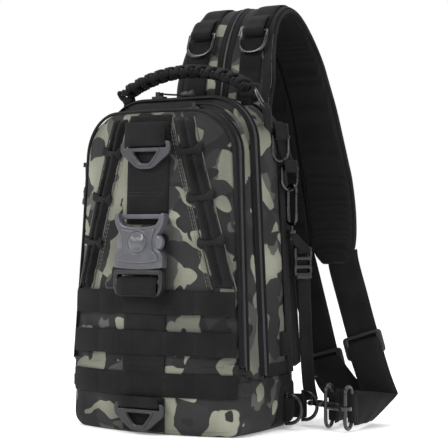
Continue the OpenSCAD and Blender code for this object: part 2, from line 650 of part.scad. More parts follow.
bottom_tub();
rear_shell();
back_pads();
inner_sleeve();
mid_frame();
main_zip_rear_tape();
main_zip_front_tape();
pocket_zip_rear_tape();
pocket_zip_front_tape();
front_cover();
centre_webbing();
ladder_bands();
lower_ladder_band();
diagonal_loops();
upper_triangle_ring();
lower_ring_loop();
lower_triangle_ring();
buckle_socket();
buckle_plug();
buckle_arm_left();
buckle_arm_right();
plug_webbing();
pocket_slider_top();
pocket_pull_top();
main_slider_top();
main_pull_top();
pocket_slider_side();
pocket_pull_side();
main_slider_side();
main_pull_side();
handle_loops();
carry_handle();
strap_pad_left();
strap_pad_right();
strap_webbing();
strap_ring_loops();
strap_ring_left();
strap_ring_right();
sling_web_left();
sling_web_right();
sling_eyes();
oval_ring_left();
oval_ring_right();
slider_bar_left();
slider_bar_right();
snap_eye();
snap_hook();
snap_hook_gate();
base_ring_front();
base_ring_rear();
base_ring_left();
base_ring_tabs();
side_webbing();
side_ring_upper();
side_ring_lower();
side_clip();
side_clip_gate();
clip_collar();
ladder_lock();
side_strap();
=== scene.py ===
import math

import bmesh
import bpy
import numpy as np
from mathutils.bvhtree import BVHTree
from mathutils import Matrix, Vector, noise


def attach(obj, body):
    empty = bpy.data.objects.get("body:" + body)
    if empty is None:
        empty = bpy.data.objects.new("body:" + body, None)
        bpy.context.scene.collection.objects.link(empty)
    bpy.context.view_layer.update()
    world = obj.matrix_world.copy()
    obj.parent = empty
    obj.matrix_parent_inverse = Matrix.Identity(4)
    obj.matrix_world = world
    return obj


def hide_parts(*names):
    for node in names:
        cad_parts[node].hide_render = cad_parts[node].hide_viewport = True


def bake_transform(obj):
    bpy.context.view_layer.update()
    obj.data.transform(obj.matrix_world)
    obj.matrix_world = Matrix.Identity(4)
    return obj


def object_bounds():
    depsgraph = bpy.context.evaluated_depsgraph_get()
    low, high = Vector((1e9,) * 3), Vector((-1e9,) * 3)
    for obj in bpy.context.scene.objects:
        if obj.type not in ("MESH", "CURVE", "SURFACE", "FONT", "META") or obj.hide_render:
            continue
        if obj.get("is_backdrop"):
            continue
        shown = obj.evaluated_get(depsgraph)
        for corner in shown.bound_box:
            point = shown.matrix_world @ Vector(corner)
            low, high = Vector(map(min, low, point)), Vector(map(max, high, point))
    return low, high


# A convertible sling bag: camouflage body with a pocket and a main compartment, shoulder strap and hardware.
# Points are in millimetres in the frame of the CAD: X to the bag's right, Y to its back, Z up.

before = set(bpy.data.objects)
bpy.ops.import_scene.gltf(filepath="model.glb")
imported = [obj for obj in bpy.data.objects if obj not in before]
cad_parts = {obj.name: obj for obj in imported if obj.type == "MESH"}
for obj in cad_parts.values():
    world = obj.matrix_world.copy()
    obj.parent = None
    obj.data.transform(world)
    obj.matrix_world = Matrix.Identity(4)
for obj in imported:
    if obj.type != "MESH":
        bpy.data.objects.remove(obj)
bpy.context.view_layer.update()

MM = 0.001

# ---------- sizes shared with the CAD (millimetres) ----------
# depths run from BACK_Y at the wearer's back to FRONT_Y at the middle of the bulged front
BACK_Y = 60.0
ZIP_MAIN_Y = -8.0
ZIP_POCKET_Y = -47.7
EDGE_Y = -57.0
FRONT_Y = -77.0
FLAP_Z = 66.2
FOLD_Z = 70.2
SEAM_Z = 58.0
ZIP_END_Z = 54.0
LEAN = math.radians(2.5)
# outlines: width at the base, width at the top, height, top radius, bottom radius
POCKET = (214.0, 184.0, 334.0, 46.0, 16.0)
MAIN = (214.0, 186.0, 350.0, 50.0, 16.0)
BULGE_R = ((POCKET[0] / 2 - 5) ** 2 + (EDGE_Y - FRONT_Y) ** 2) / (2 * (EDGE_Y - FRONT_Y))
BULGE_Y = FRONT_Y + BULGE_R
RIM_SLOPE = (FLAP_Z - ZIP_END_Z) / (ZIP_MAIN_Y - FRONT_Y)


def lean(p):
    """Moves a point of the upright pocket into the pocket's leaning frame."""
    dy, dz = p[1] - EDGE_Y, p[2] - FOLD_Z
    c, s = math.cos(LEAN), math.sin(LEAN)
    return (p[0], EDGE_Y + dy * c + dz * s, FOLD_Z - dy * s + dz * c)


def bulge(x, out=0.0):
    """Depth of the curved front face at x, or of a layer lying out in front of it."""
    r = BULGE_R + out
    return BULGE_Y - math.sqrt(max(r * r - x * x, 0.0))


def half_width(o, z):
    """Half the width of an outline at height z."""
    base, top, height, r_top, r_low = o
    if z < r_low:
        return base / 2 - r_low + math.sqrt(max(r_low ** 2 - (r_low - z) ** 2, 0.0))
    if z > height - r_top:
        return top / 2 - r_top + math.sqrt(max(r_top ** 2 - (z - height + r_top) ** 2, 0.0))
    return base / 2 + (z - r_low) / (height - r_top - r_low) * (top - base) / 2


# ---------- mesh helpers ----------

def make(name, verts, faces, mat):
    """New mesh object from points in millimetres."""
    mesh = bpy.data.meshes.new(name)
    mesh.from_pydata([[c * MM for c in v] for v in verts], [], faces)
    mesh.validate()
    obj = bpy.data.objects.new(name, mesh)
    bpy.context.scene.collection.objects.link(obj)
    for m in (mat if isinstance(mat, (list, tuple)) else [mat]):
        mesh.materials.append(m)
    for p in mesh.polygons:
        p.use_smooth = True
    return obj


def grid_faces(rows, cols, close_rows=False, close_cols=False):
    """Quads of a grid whose vertex (i, j) has index i * cols + j."""
    faces = []
    for i in range(rows if close_rows else rows - 1):
        for j in range(cols if close_cols else cols - 1):
            a, b = i * cols + j, i * cols + (j + 1) % cols
            c, d = (i + 1) % rows * cols + (j + 1) % cols, (i + 1) % rows * cols + j
            faces.append([a, b, c, d])
    return faces


def capped_faces(rows, ring):
    """Quads round a tube whose rows are rings, and the two caps that close it."""
    faces = grid_faces(rows, ring, close_cols=True)
    faces.append(list(range(ring))[::-1])
    faces.append([(rows - 1) * ring + k for k in range(ring)])
    return faces


def merge(name, parts, mat):
    """One object out of several (verts, faces) parts in millimetres."""
    verts, faces = [], []
    for v, f in parts:
        n = len(verts)
        verts += list(v)
        faces += [[i + n for i in q] for q in f]
    return make(name, verts, faces, mat)


def solidify(obj, thickness, inner=None):
    """Gives a sheet its thickness, inwards; inner is the material slot of its inside."""
    mod = obj.modifiers.new("thickness", "SOLIDIFY")
    mod.thickness = thickness * MM
    mod.offset = -1.0
    if inner is not None:
        mod.material_offset = inner
        mod.material_offset_rim = 0


def subdivide(obj):
    mod = obj.modifiers.new("smooth", "SUBSURF")
    mod.levels = mod.render_levels = 1


def skin_tree(obj):
    """Search tree over a finished skin, for laying small pieces on it."""
    bpy.context.view_layer.update()
    return BVHTree.FromObject(obj, bpy.context.evaluated_depsgraph_get())


def laid_on(tree, p, direction, lift):
    """Point p moved along direction onto the skin, then raised off it."""
    d = Vector(direction).normalized()
    start = (Vector(p) - d * 60) * MM
    hit = tree.ray_cast(start, d, 0.12)[0]
    base = hit / MM if hit else Vector(p)
    return tuple(base - d * lift)


def patch(name, tree, corners, direction, lift, thick, mat, body, n=15):
    """Four-cornered piece of webbing or cloth laid on a skin."""
    a_, b_, c_, d_ = [Vector(q) for q in corners]
    verts = []
    for i in range(n):
        for j in range(n):
            u, v = i / (n - 1), j / (n - 1)
            p = a_.lerp(b_, u).lerp(d_.lerp(c_, u), v)
            edge = min(u, 1 - u, v, 1 - v)
            verts.append(laid_on(tree, p, direction, lift + thick * min(1, edge * 9) ** 0.5))
    obj = make(name, verts, grid_faces(n, n), mat)
    face_out(obj, lambda p: tuple(-k for k in direction))
    place(obj, body)
    return obj


def place(obj, body, cad_node=None):
    """Rides a piece on a body and replaces its CAD node if it has one."""
    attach(obj, body)
    if cad_node:
        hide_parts(cad_node)
    return obj


def wrinkle(p, scale, seed=0.0):
    """Smooth noise in -1..1 at a point in millimetres; scale is the size of a fold."""
    v = Vector((p[0] / scale + seed, p[1] / scale - seed, p[2] / scale + 2 * seed))
    return noise.noise(v)


def frames_along(path, closed=False):
    """Tangent, normal and side vector at each point of a path, twist kept low."""
    pts = [Vector(p) for p in path]
    n = len(pts)
    tangents = []
    for k in range(n):
        a = pts[(k - 1) % n] if closed or k > 0 else pts[k]
        b = pts[(k + 1) % n] if closed or k < n - 1 else pts[k]
        tangents.append((b - a).normalized())
    ref = Vector((0, 0, 1)) if abs(tangents[0].z) < 0.9 else Vector((1, 0, 0))
    normal = (ref - tangents[0] * ref.dot(tangents[0])).normalized()
    out = []
    for t in tangents:
        normal = (normal - t * normal.dot(t)).normalized()
        out.append((t, normal, t.cross(normal)))
    return out


def tube_along(path, r, segments=10, closed=False, flat=1.0):
    """Round (or flattened) tube along a path in millimetres: (verts, faces). r may be a list."""
    fr = frames_along(path, closed)
    radii = r if isinstance(r, (list, tuple, np.ndarray)) else [r] * len(path)
    verts, n = [], len(path)
    for (t, nn, ss), p, rad in zip(fr, path, radii):
        for k in range(segments):
            a = 2 * math.pi * k / segments
            q = Vector(p) + nn * (rad * math.cos(a)) + ss * (rad * flat * math.sin(a))
            verts.append(tuple(q))
    if closed:
        return verts, grid_faces(n, segments, close_rows=True, close_cols=True)
    return verts, capped_faces(n, segments)


def arc(centre, u, v, r, a0, a1, n):
    """Points of an arc: centre + r (u cos a + v sin a), degrees."""
    c, u, v = Vector(centre), Vector(u), Vector(v)
    return [tuple(c + u * (r * math.cos(math.radians(a))) + v * (r * math.sin(math.radians(a))))
            for a in np.linspace(a0, a1, n)]


def ribbon(rows, thickness, dome=0.0, cols=9, wave=None):
    """Webbing through (left, right, outward) rows in millimetres, closed and rounded: (verts, faces)."""
    verts = []
    ring = [(k / (cols - 1), 1.0) for k in range(cols)]
    ring += [(1 - k / (cols - 1), 0.0) for k in range(cols)]
    for i, (left, right, out) in enumerate(rows):
        left, right, out = Vector(left), Vector(right), Vector(out)
        for u, s in ring:
            edge = min(u, 1 - u) * (right - left).length
            round_off = min(1.0, edge / (thickness * 0.6)) if edge < thickness * 0.6 else 1.0
            lift = dome * (1 - (2 * u - 1) ** 2)
            if wave:
                lift += wave(i, u)
            h = lift + thickness * (0.5 + (s - 0.5) * (0.35 + 0.65 * math.sqrt(round_off)))
            verts.append(tuple(left.lerp(right, u) + out * h))
    return verts, capped_faces(len(rows), 2 * cols)


def stitches(path, outward, length=2.6, gap=1.4, r=0.34):
    """Run of stitches along a path: short threads raised along outward."""
    verts, faces = [], []
    pts = [Vector(p) for p in path]
    lengths = [0.0]
    for a, b in zip(pts, pts[1:]):
        lengths.append(lengths[-1] + (b - a).length)

    def at(s):
        for k in range(len(pts) - 1):
            if s <= lengths[k + 1]:
                f = (s - lengths[k]) / max(lengths[k + 1] - lengths[k], 1e-9)
                return pts[k].lerp(pts[k + 1], f)
        return pts[-1]

    s = gap
    while s + length < lengths[-1]:
        a, b = at(s), at(s + length)
        out = Vector(outward).normalized()
        d = (b - a).normalized()
        side = d.cross(out).normalized()
        base = len(verts)
        for f, w, h in ((0.0, 0.35, 0.0), (0.2, 1.0, 0.75), (0.8, 1.0, 0.75), (1.0, 0.35, 0.0)):
            c = a.lerp(b, f)
            verts.append(tuple(c - side * (r * w) - out * 0.15))
            verts.append(tuple(c + out * (r * h * 1.2)))
            verts.append(tuple(c + side * (r * w) - out * 0.15))
        for k in range(3):
            o = base + 3 * k
            faces += [[o, o + 3, o + 4, o + 1], [o + 1, o + 4, o + 5, o + 2]]
        s += length + gap
    return verts, faces


# ---------- materials ----------

def new_mat(name):
    m = bpy.data.materials.new(name)
    m.use_nodes = True
    t = m.node_tree
    t.nodes.clear()
    out = t.nodes.new("ShaderNodeOutputMaterial")
    b = t.nodes.new("ShaderNodeBsdfPrincipled")
    t.links.new(b.outputs[0], out.inputs[0])
    return m, t, b


def node(t, kind, **props):
    """New shader node with its settings."""
    n = t.nodes.new(kind)
    for k, v in props.items():
        setattr(n, k, v)
    return n


def sockets(n, **values):
    """Sets a node's input sockets; an underscore stands for a space in a socket's name."""
    for k, v in values.items():
        n.inputs[k.replace("_", " ")].default_value = v
    return n


def coords(t, scale=(1, 1, 1)):
    c = node(t, "ShaderNodeTexCoord")
    m = sockets(node(t, "ShaderNodeMapping"), Scale=scale)
    t.links.new(c.outputs["Object"], m.inputs["Vector"])
    return m.outputs["Vector"]


def noise_fac(t, vec, scale, detail=2.0, rough=0.5):
    n = sockets(node(t, "ShaderNodeTexNoise"), Scale=scale, Detail=detail, Roughness=rough)
    t.links.new(vec, n.inputs["Vector"])
    return n.outputs["Fac"]


def ramp(t, fac, stops):
    r = node(t, "ShaderNodeValToRGB")
    r.color_ramp.interpolation = "LINEAR"
    while len(r.color_ramp.elements) < len(stops):
        r.color_ramp.elements.new(0.5)
    for e, (pos, col) in zip(r.color_ramp.elements, stops):
        e.position = pos
        e.color = (*col, 1) if len(col) == 3 else col
    t.links.new(fac, r.inputs[0])
    return r.outputs["Color"]


def mix(t, fac, a, b, mode="MIX"):
    m = node(t, "ShaderNodeMix", data_type="RGBA", blend_type=mode)
    if isinstance(fac, (int, float)):
        m.inputs[0].default_value = fac
    else:
        t.links.new(fac, m.inputs[0])
    for sock, val in ((m.inputs[6], a), (m.inputs[7], b)):
        if isinstance(val, (tuple, list)):
            sock.default_value = (*val, 1) if len(val) == 3 else val
        else:
            t.links.new(val, sock)
    return m.outputs[2]


def math_node(t, op, a, b):
    m = node(t, "ShaderNodeMath", operation=op)
    for sock, val in zip(m.inputs, (a, b)):
        if isinstance(val, (int, float)):
            sock.default_value = val
        else:
            t.links.new(val, sock)
    return m.outputs[0]


def bump(t, bsdf, height, strength, distance):
    b = sockets(node(t, "ShaderNodeBump"), Strength=strength, Distance=distance)
    t.links.new(height, b.inputs["Height"])
    t.links.new(b.outputs[0], bsdf.inputs["Normal"])


def wave_fac(t, vec, axis, period_mm):
    w = node(t, "ShaderNodeTexWave", wave_type="BANDS", bands_direction=axis, wave_profile="SIN")
    sockets(w, Scale=2 * math.pi / 20 / (period_mm * MM), Distortion=0.0)
    t.links.new(vec, w.inputs["Vector"])
    return w.outputs["Fac"]


def weave_height(t, vec, period):
    """Plain weave: crossed ribs in all three directions, so that every face of the bag shows it."""
    x = wave_fac(t, vec, "X", period)
    y = wave_fac(t, vec, "Y", period)
    z = wave_fac(t, vec, "Z", period)
    return math_node(t, "MULTIPLY", math_node(t, "ADD", math_node(t, "ADD", x, y), z), 0.33)


def camo_material():
    """Generic camouflage: warped noise cut into hard-edged blotches, laid over each other."""
    m, t, b = new_mat("camo_cloth_look")
    vec = coords(t, (1.0, 1.0, 1.15))
    off = sockets(node(t, "ShaderNodeTexNoise"), Scale=55.0, Detail=1.0)
    t.links.new(vec, off.inputs["Vector"])
    centred = node(t, "ShaderNodeVectorMath", operation="SUBTRACT")
    centred.inputs[1].default_value = (0.5, 0.5, 0.5)
    t.links.new(off.outputs["Color"], centred.inputs[0])
    shift = sockets(node(t, "ShaderNodeVectorMath", operation="SCALE"), Scale=0.010)
    t.links.new(centred.outputs[0], shift.inputs[0])
    warp = node(t, "ShaderNodeVectorMath", operation="ADD")
    t.links.new(vec, warp.inputs[0])
    t.links.new(shift.outputs[0], warp.inputs[1])

    def layer(scale, location, low, high):
        """Mask of blotches: low and high are the two ends of its edge, location the place in the noise."""
        moved = sockets(node(t, "ShaderNodeMapping"), Location=location)
        t.links.new(warp.outputs[0], moved.inputs["Vector"])
        f = noise_fac(t, moved.outputs["Vector"], scale, 0.0)
        return ramp(t, f, [(low, (0, 0, 0)), (high, (1, 1, 1))])

    tone = noise_fac(t, vec, 13, 1.0)
    light = ramp(t, tone, [(0.32, (0.090, 0.090, 0.078)), (0.5, (0.160, 0.162, 0.128)),
                           (0.68, (0.250, 0.252, 0.200))])
    grey = ramp(t, tone, [(0.35, (0.045, 0.045, 0.043)), (0.65, (0.080, 0.080, 0.074))])
    dark = ramp(t, tone, [(0.3, (0.0085, 0.0085, 0.009)), (0.7, (0.024, 0.024, 0.025))])
    charcoal = ramp(t, tone, [(0.3, (0.018, 0.018, 0.018)), (0.7, (0.030, 0.030, 0.031))])
    col = mix(t, layer(14, (0.42, 0.02, 0.05), 0.478, 0.483), dark, light)
    col = mix(t, layer(22, (0.77, 0.45, 0.23), 0.600, 0.606), col, grey)
    col = mix(t, layer(27, (0.15, 0.93, 0.61), 0.550, 0.556), col, charcoal)
    col = mix(t, layer(50, (0.55, 0.21, 0.37), 0.635, 0.642), col, dark)
    col = mix(t, layer(38, (0.95, 0.61, 0.87), 0.655, 0.661), col, light)
    fine = noise_fac(t, vec, 900, 2.0)
    grain = ramp(t, fine, [(0.3, (0.72, 0.72, 0.72)), (0.7, (1.25, 1.25, 1.25))])
    col = mix(t, 0.35, col, grain, "MULTIPLY")
    t.links.new(col, b.inputs["Base Color"])
    sockets(b, Roughness=0.72, Sheen_Weight=0.03, Sheen_Roughness=0.4, Specular_IOR_Level=0.13)
    h = math_node(t, "ADD", math_node(t, "MULTIPLY", weave_height(t, vec, 1.1), 0.5),
                  math_node(t, "MULTIPLY", noise_fac(t, vec, 110, 3.0), 1.4))
    bump(t, b, h, 0.5, 0.0006)
    return m


def fabric_material(name, low, high, rough=0.8, rib=None, period=1.2, strength=0.5, sheen=0.3,
                    depth=0.0004):
    """Dark woven fabric; rib is the direction that the ribs repeat in, or None for a plain weave. Ribs carry
    painted shade in their grooves and painted highlight on their crests.
    """
    m, t, b = new_mat(name)
    vec = coords(t)
    big_n = noise_fac(t, vec, 35, 3.0)
    col = ramp(t, big_n, [(0.3, low), (0.75, high)])
    fine = noise_fac(t, vec, 700, 2.0)
    grain = ramp(t, fine, [(0.3, (0.6, 0.6, 0.6)), (0.75, (1.5, 1.5, 1.5))])
    col = mix(t, 0.5, col, grain, "MULTIPLY")
    if rib:
        fac = wave_fac(t, vec, rib, period)
        # the ribs' colour follows their bump: painted shade in the grooves and painted highlight on the
        # crests
        ribs = ramp(t, fac, [(0.0, (0.55, 0.55, 0.55)), (1.0, (1.35, 1.35, 1.35))])
        col = mix(t, 0.55, col, ribs, "MULTIPLY")
        cross = "Z" if rib != "Z" else "X"
        h = math_node(t, "ADD", fac, math_node(t, "MULTIPLY", wave_fac(t, vec, cross, 0.7), 0.3))
    else:
        h = weave_height(t, vec, period)
    h = math_node(t, "ADD", h, math_node(t, "MULTIPLY", big_n, 1.2))
    t.links.new(col, b.inputs["Base Color"])
    sockets(b, Roughness=rough, Sheen_Weight=sheen * 0.08, Sheen_Roughness=0.45, Specular_IOR_Level=0.12)
    bump(t, b, h, strength, depth)
    return m


def mesh_material(name):
    """Black spacer mesh: a close net of small holes over foam, with painted shade in the holes."""
    m, t, b = new_mat(name)
    vec = coords(t)
    v = node(t, "ShaderNodeTexVoronoi", feature="F1", distance="EUCLIDEAN")
    sockets(v, Scale=520.0, Randomness=0.15)
    t.links.new(vec, v.inputs["Vector"])
    d = v.outputs["Distance"]
    # the holes are darker than the net, in step with the bump: painted shade in the holes
    col = ramp(t, d, [(0.25, (0.0015, 0.0015, 0.0015)), (0.55, (0.009, 0.009, 0.0095))])
    t.links.new(col, b.inputs["Base Color"])
    sockets(b, Roughness=0.85, Sheen_Weight=0.02, Specular_IOR_Level=0.15)
    bump(t, b, d, 0.6, 0.0006)
    return m


def hard_material(name, low, high, rough=0.38, metallic=0.0, coat=0.0):
    """Moulded plastic or coated metal: fine grain and mottled tone."""
    m, t, b = new_mat(name)
    vec = coords(t)
    f = noise_fac(t, vec, 45, 4.0, 0.6)
    col = ramp(t, f, [(0.3, low), (0.75, high)])
    t.links.new(col, b.inputs["Base Color"])
    rgh = sockets(node(t, "ShaderNodeMapRange"), To_Min=max(rough - 0.1, 0.05), To_Max=rough + 0.14)
    t.links.new(noise_fac(t, vec, 160, 3.0), rgh.inputs["Value"])
    t.links.new(rgh.outputs[0], b.inputs["Roughness"])
    sockets(b, Metallic=metallic, Coat_Weight=coat)
    bump(t, b, noise_fac(t, vec, 600), 0.4, 0.00008)
    return m


CAMO = camo_material()
WEB_V = fabric_material("webbing_ribs_across", (0.0062, 0.0062, 0.0068), (0.0118, 0.0118, 0.0124),
                        rib="X", period=1.6)
WEB_H = fabric_material("webbing_ribs_down", (0.0068, 0.0068, 0.0074), (0.0130, 0.0130, 0.0136),
                        rib="Z", period=1.5)
WEB_P = fabric_material("webbing_plain", (0.0056, 0.0056, 0.0062), (0.0112, 0.0112, 0.0118),
                        period=1.4)
CLOTH = fabric_material("black_cloth", (0.0062, 0.0062, 0.0068), (0.0149, 0.0149, 0.0155),
                        rough=0.7, period=1.0, sheen=0.4)
LINING = fabric_material("lining_cloth", (0.0112, 0.0112, 0.0124), (0.0186, 0.0186, 0.0198),
                         rough=0.55, period=0.8)
TAPE = fabric_material("zip_tape_cloth", (0.0050, 0.0050, 0.0056), (0.0099, 0.0099, 0.0112),
                       period=0.9)
COIL = hard_material("zip_coil", (0.012, 0.012, 0.013), (0.03, 0.03, 0.032), rough=0.45)
MESH = mesh_material("pad_mesh_cloth")
BINDING = fabric_material("binding_tape", (0.0081, 0.0081, 0.0087), (0.0186, 0.0186, 0.0198),
                          period=1.6, sheen=0.5)
THREAD = fabric_material("light_thread", (0.12, 0.12, 0.105), (0.21, 0.21, 0.185),
                         rough=0.6, period=0.5)
DARK_THREAD = fabric_material("dark_thread", (0.02, 0.02, 0.02), (0.045, 0.045, 0.045),
                              rough=0.6, period=0.5)
PIPING = fabric_material("piping_cord", (0.05, 0.05, 0.045), (0.13, 0.13, 0.115),
                         rough=0.6, period=0.8)
CORD = fabric_material("paracord_braid", (0.0062, 0.0062, 0.0068), (0.0174, 0.0174, 0.0186), period=0.9,
                       strength=0.9, sheen=0.5, depth=0.0006)
PLASTIC = hard_material("black_plastic_look", (0.006, 0.006, 0.0065), (0.012, 0.012, 0.013),
                        rough=0.40)
BUCKLE = hard_material("buckle_look", (0.050, 0.051, 0.060), (0.085, 0.086, 0.099),
                       rough=0.34, coat=0.2)
TRIANGLE = hard_material("triangle_look", (0.024, 0.024, 0.028), (0.042, 0.042, 0.049), rough=0.36)
GUNMETAL = hard_material("gunmetal_look", (0.02, 0.02, 0.022), (0.11, 0.11, 0.115),
                         rough=0.26, metallic=1.0)
SATIN_BLACK = hard_material("satin_black_metal", (0.008, 0.008, 0.009), (0.02, 0.02, 0.021),
                            rough=0.28, metallic=0.3, coat=0.3)
TRIANGLE_DARK = hard_material("triangle_dark_look", (0.008, 0.0085, 0.009), (0.017, 0.018, 0.019),
                              rough=0.4)
BUCKLE_LIGHT = hard_material("buckle_arm_look", (0.075, 0.076, 0.087), (0.12, 0.121, 0.137),
                             rough=0.32)
SILVER = hard_material("silver_look", (0.07, 0.07, 0.073), (0.22, 0.22, 0.23),
                       rough=0.28, metallic=1.0)
RUBBER = hard_material("pull_rubber_look", (0.006, 0.006, 0.006), (0.014, 0.014, 0.014), rough=0.5)

# ---------- shells ----------

LEAN_M = (Matrix.Translation((0, EDGE_Y * MM, FOLD_Z * MM)) @ Matrix.Rotation(-LEAN, 4, "X")
          @ Matrix.Translation((0, -EDGE_Y * MM, -FOLD_Z * MM)))


def lean_object(obj):
    obj.data.transform(LEAN_M)
    return obj


def face_out(obj, outward):
    """Turns the whole mesh inside out if most of its faces point against outward, a function of a point."""
    mesh = obj.data
    total = sum(p.normal.dot(Vector(outward(tuple(p.center / MM)))) for p in mesh.polygons)
    if total < 0:
        mesh.flip_normals()
    return obj


def upper_curve(o, z_low, side_steps=34, arc_steps=16, flat_steps=28):
    """Left foot, up and over, to the right foot. Also the number of points on one side."""
    _, top, height, r, _ = o
    z_arc = height - r
    right = [(half_width(o, z), z) for z in np.linspace(z_low, z_arc, side_steps, endpoint=False)]
    right += [(top / 2 - r + r * math.cos(a), z_arc + r * math.sin(a))
              for a in np.linspace(0, math.pi / 2, arc_steps)]
    half = top / 2 - r
    flat = [(x, height) for x in np.linspace(-half, half, flat_steps)[1:-1]]
    return [(-x, z) for x, z in right] + flat + right[::-1], len(right)


def lower_curve(o, z_high):
    """Left rim, down and under, to the right rim. Also the number of points on one side."""
    base, _, _, _, r_low = o
    right = [(half_width(o, z), z) for z in np.linspace(z_high, r_low, 9, endpoint=False)]
    right += [(base / 2 - r_low + r_low * math.cos(a), r_low - r_low * math.sin(a))
              for a in np.linspace(0, math.pi / 2, 8)]
    half = base / 2 - r_low
    flat = [(x, 0.0) for x in np.linspace(-half, half, 30)[1:-1]]
    return [(-x, z) for x, z in right] + flat + right[::-1], len(right)


MIDDLE_Z = 120.0       # a height inside the bag, for telling which way is out


def curve_normals(points):
    """Normals that point away from the middle of the bag."""
    out = []
    for k, (x, z) in enumerate(points):
        a, b = points[max(k - 1, 0)], points[min(k + 1, len(points) - 1)]
        dx, dz = b[0] - a[0], b[1] - a[1]
        n = math.hypot(dx, dz)
        nx, nz = dz / n, -dx / n
        if nx * x + nz * (z - MIDDLE_Z) < 0:
            nx, nz = -nx, -nz
        out.append((nx, nz))
    return out


def loft(curves, ys, puffs):
    """Rows of a shell's side wall: a curve, a depth and an outward push for each; both may be functions."""
    rows = []
    for pts, y, push in zip(curves, ys, puffs):
        normals = curve_normals(pts)
        row = []
        for k, ((x, z), (nx, nz)) in enumerate(zip(pts, normals)):
            yy = y(x, z) if callable(y) else y
            pp = push(k / (len(pts) - 1)) if callable(push) else push
            row.append((x + nx * pp, yy, z + nz * pp))
        rows.append(row)
    return rows


def closed_shell(side_rows, curve, m, radius, y_face, sign):
    """Side rows, a rounded edge and the face that closes them. sign is -1 for a front and 1 for a back;
    m is the number of points on one side of the curve."""
    rows = list(side_rows)
    normals = curve_normals(curve)
    for a in np.linspace(0, math.pi / 2, 6)[1:]:
        inward, depth = radius * (1 - math.cos(a)), radius * (1 - math.sin(a))
        rows.append([(x - nx * inward, y_face(x, z) - sign * depth, z - nz * inward)
                     for (x, z), (nx, nz) in zip(curve, normals)])
    n = len(curve)
    verts = [p for row in rows for p in row]
    faces = grid_faces(len(rows), n)
    last = (len(rows) - 1) * n
    ring = rows[-1]
    cols = n - 2 * (m - 1)
    index = {}
    for k in range(m):
        for j in range(cols):
            if k == m - 1:
                index[k, j] = last + m - 1 + j
            elif j == 0:
                index[k, j] = last + k
            elif j == cols - 1:
                index[k, j] = last + n - 1 - k
            else:
                f = j / (cols - 1)
                x = ring[k][0] * (1 - f) + ring[n - 1 - k][0] * f
                z = ring[k][2]
                index[k, j] = len(verts)
                verts.append((x, y_face(x, z), z))
    for k in range(m - 1):
        for j in range(cols - 1):
            faces.append([index[k, j], index[k, j + 1], index[k + 1, j + 1], index[k + 1, j]])
    return verts, faces


def crumple(obj, amount, scale=34.0, seed=0.0, keep=None):
    """Soft folds: every vertex moves along its normal by smooth noise in two sizes."""
    mesh = obj.data
    moves = []
    for v in mesh.vertices:
        p = tuple(v.co / MM)
        f = wrinkle(p, scale, seed) + 0.45 * wrinkle(p, scale * 0.42, seed + 5) - 0.25
        f *= keep(p) if keep else 1.0
        moves.append(v.normal * (amount * f * MM))
    for v, d in zip(mesh.vertices, moves):
        v.co += d
    return obj


def outward_from(centre):
    return lambda p: (p[0] - centre[0], p[1] - centre[1], p[2] - centre[2])


def clean(obj, weld=0.0):
    """Welds points closer than weld, or, when weld is 0, makes all the faces agree on which side is out."""
    bm = bmesh.new()
    bm.from_mesh(obj.data)
    if weld:
        bmesh.ops.remove_doubles(bm, verts=bm.verts, dist=weld * MM)
    else:
        bmesh.ops.recalc_face_normals(bm, faces=bm.faces)
    bm.to_mesh(obj.data)
    bm.free()


def finish_shell(obj, thickness, centre):
    """Faces a shell outwards, smooths it and gives it thickness."""
    clean(obj)
    face_out(obj, outward_from(centre))
    subdivide(obj)
    if thickness:
        solidify(obj, thickness, inner=1)
    return obj


# front cover: gusset, rounded edge and the bulged front
def cover_face(x, z):
    """Front of the pocket: bulged, sunk a little beside the channels and towards the top."""
    sunk = 0.8 * math.exp(-((abs(x) - channel_x(z)) / 9.0) ** 2) if 150 < z < 330 else 0.0
    top = 3.2 * max(0.0, (z - 296) / 38.0) ** 2
    return bulge(x) + sunk + top


def channel_x(z):
    """Middle line of the gathered channel at height z."""
    return 39 + (326 - z) / 174.0 * 47


COVER_FOLDS = 1.1      # depth of the soft folds in the front, mm


def cover_skin(x, z):
    """Front of the pocket with its soft folds, for what is sewn on it."""
    p = (x, cover_face(x, z), z)
    return p[1] - COVER_FOLDS * (wrinkle(p, 40, 1.0) + 0.45 * wrinkle(p, 40 * 0.42, 6.0) - 0.25)


curve, m = upper_curve(POCKET, FOLD_Z + 0.8)
steps = np.linspace(0, 1, 6)
ys = [lambda x, z, t=t: -48.0 + (bulge(x) + 6.5 + 48.0) * t for t in steps]
rows = loft([curve] * 6, ys, [0.2 + 1.4 * math.sin(math.pi * t) for t in steps])
front = make("front_cover_skin", *closed_shell(rows, curve, m, 6.5, cover_face, -1), [CAMO, LINING])
finish_shell(front, 2.6, (0, -50, 200))
crumple(front, COVER_FOLDS, 40, 1.0)
lean_object(front)
place(front, "pocket_flap", "front_cover")

# piping round the edge of the front
edge_normals = curve_normals(curve)
path = [(x + nx * 0.2, bulge(x) + 3.0, z + nz * 0.2) for (x, z), (nx, nz) in zip(curve, edge_normals)]
piping = make("front_piping", *tube_along([lean(p) for p in path], 1.7, 10), CLOTH)
place(piping, "pocket_flap")

# frame between the two zips, with the wall between the compartments
def between(a, b, t):
    return [(p[0] * (1 - t) + q[0] * t, p[1] * (1 - t) + q[1] * t) for p, q in zip(a, b)]


def rim(y):
    """Height of the tub's rim at a depth."""
    return ZIP_END_Z + RIM_SLOPE * (ZIP_MAIN_Y - y) if y < ZIP_MAIN_Y else SEAM_Z


def lean_row(row):
    return [lean(p) for p in row]


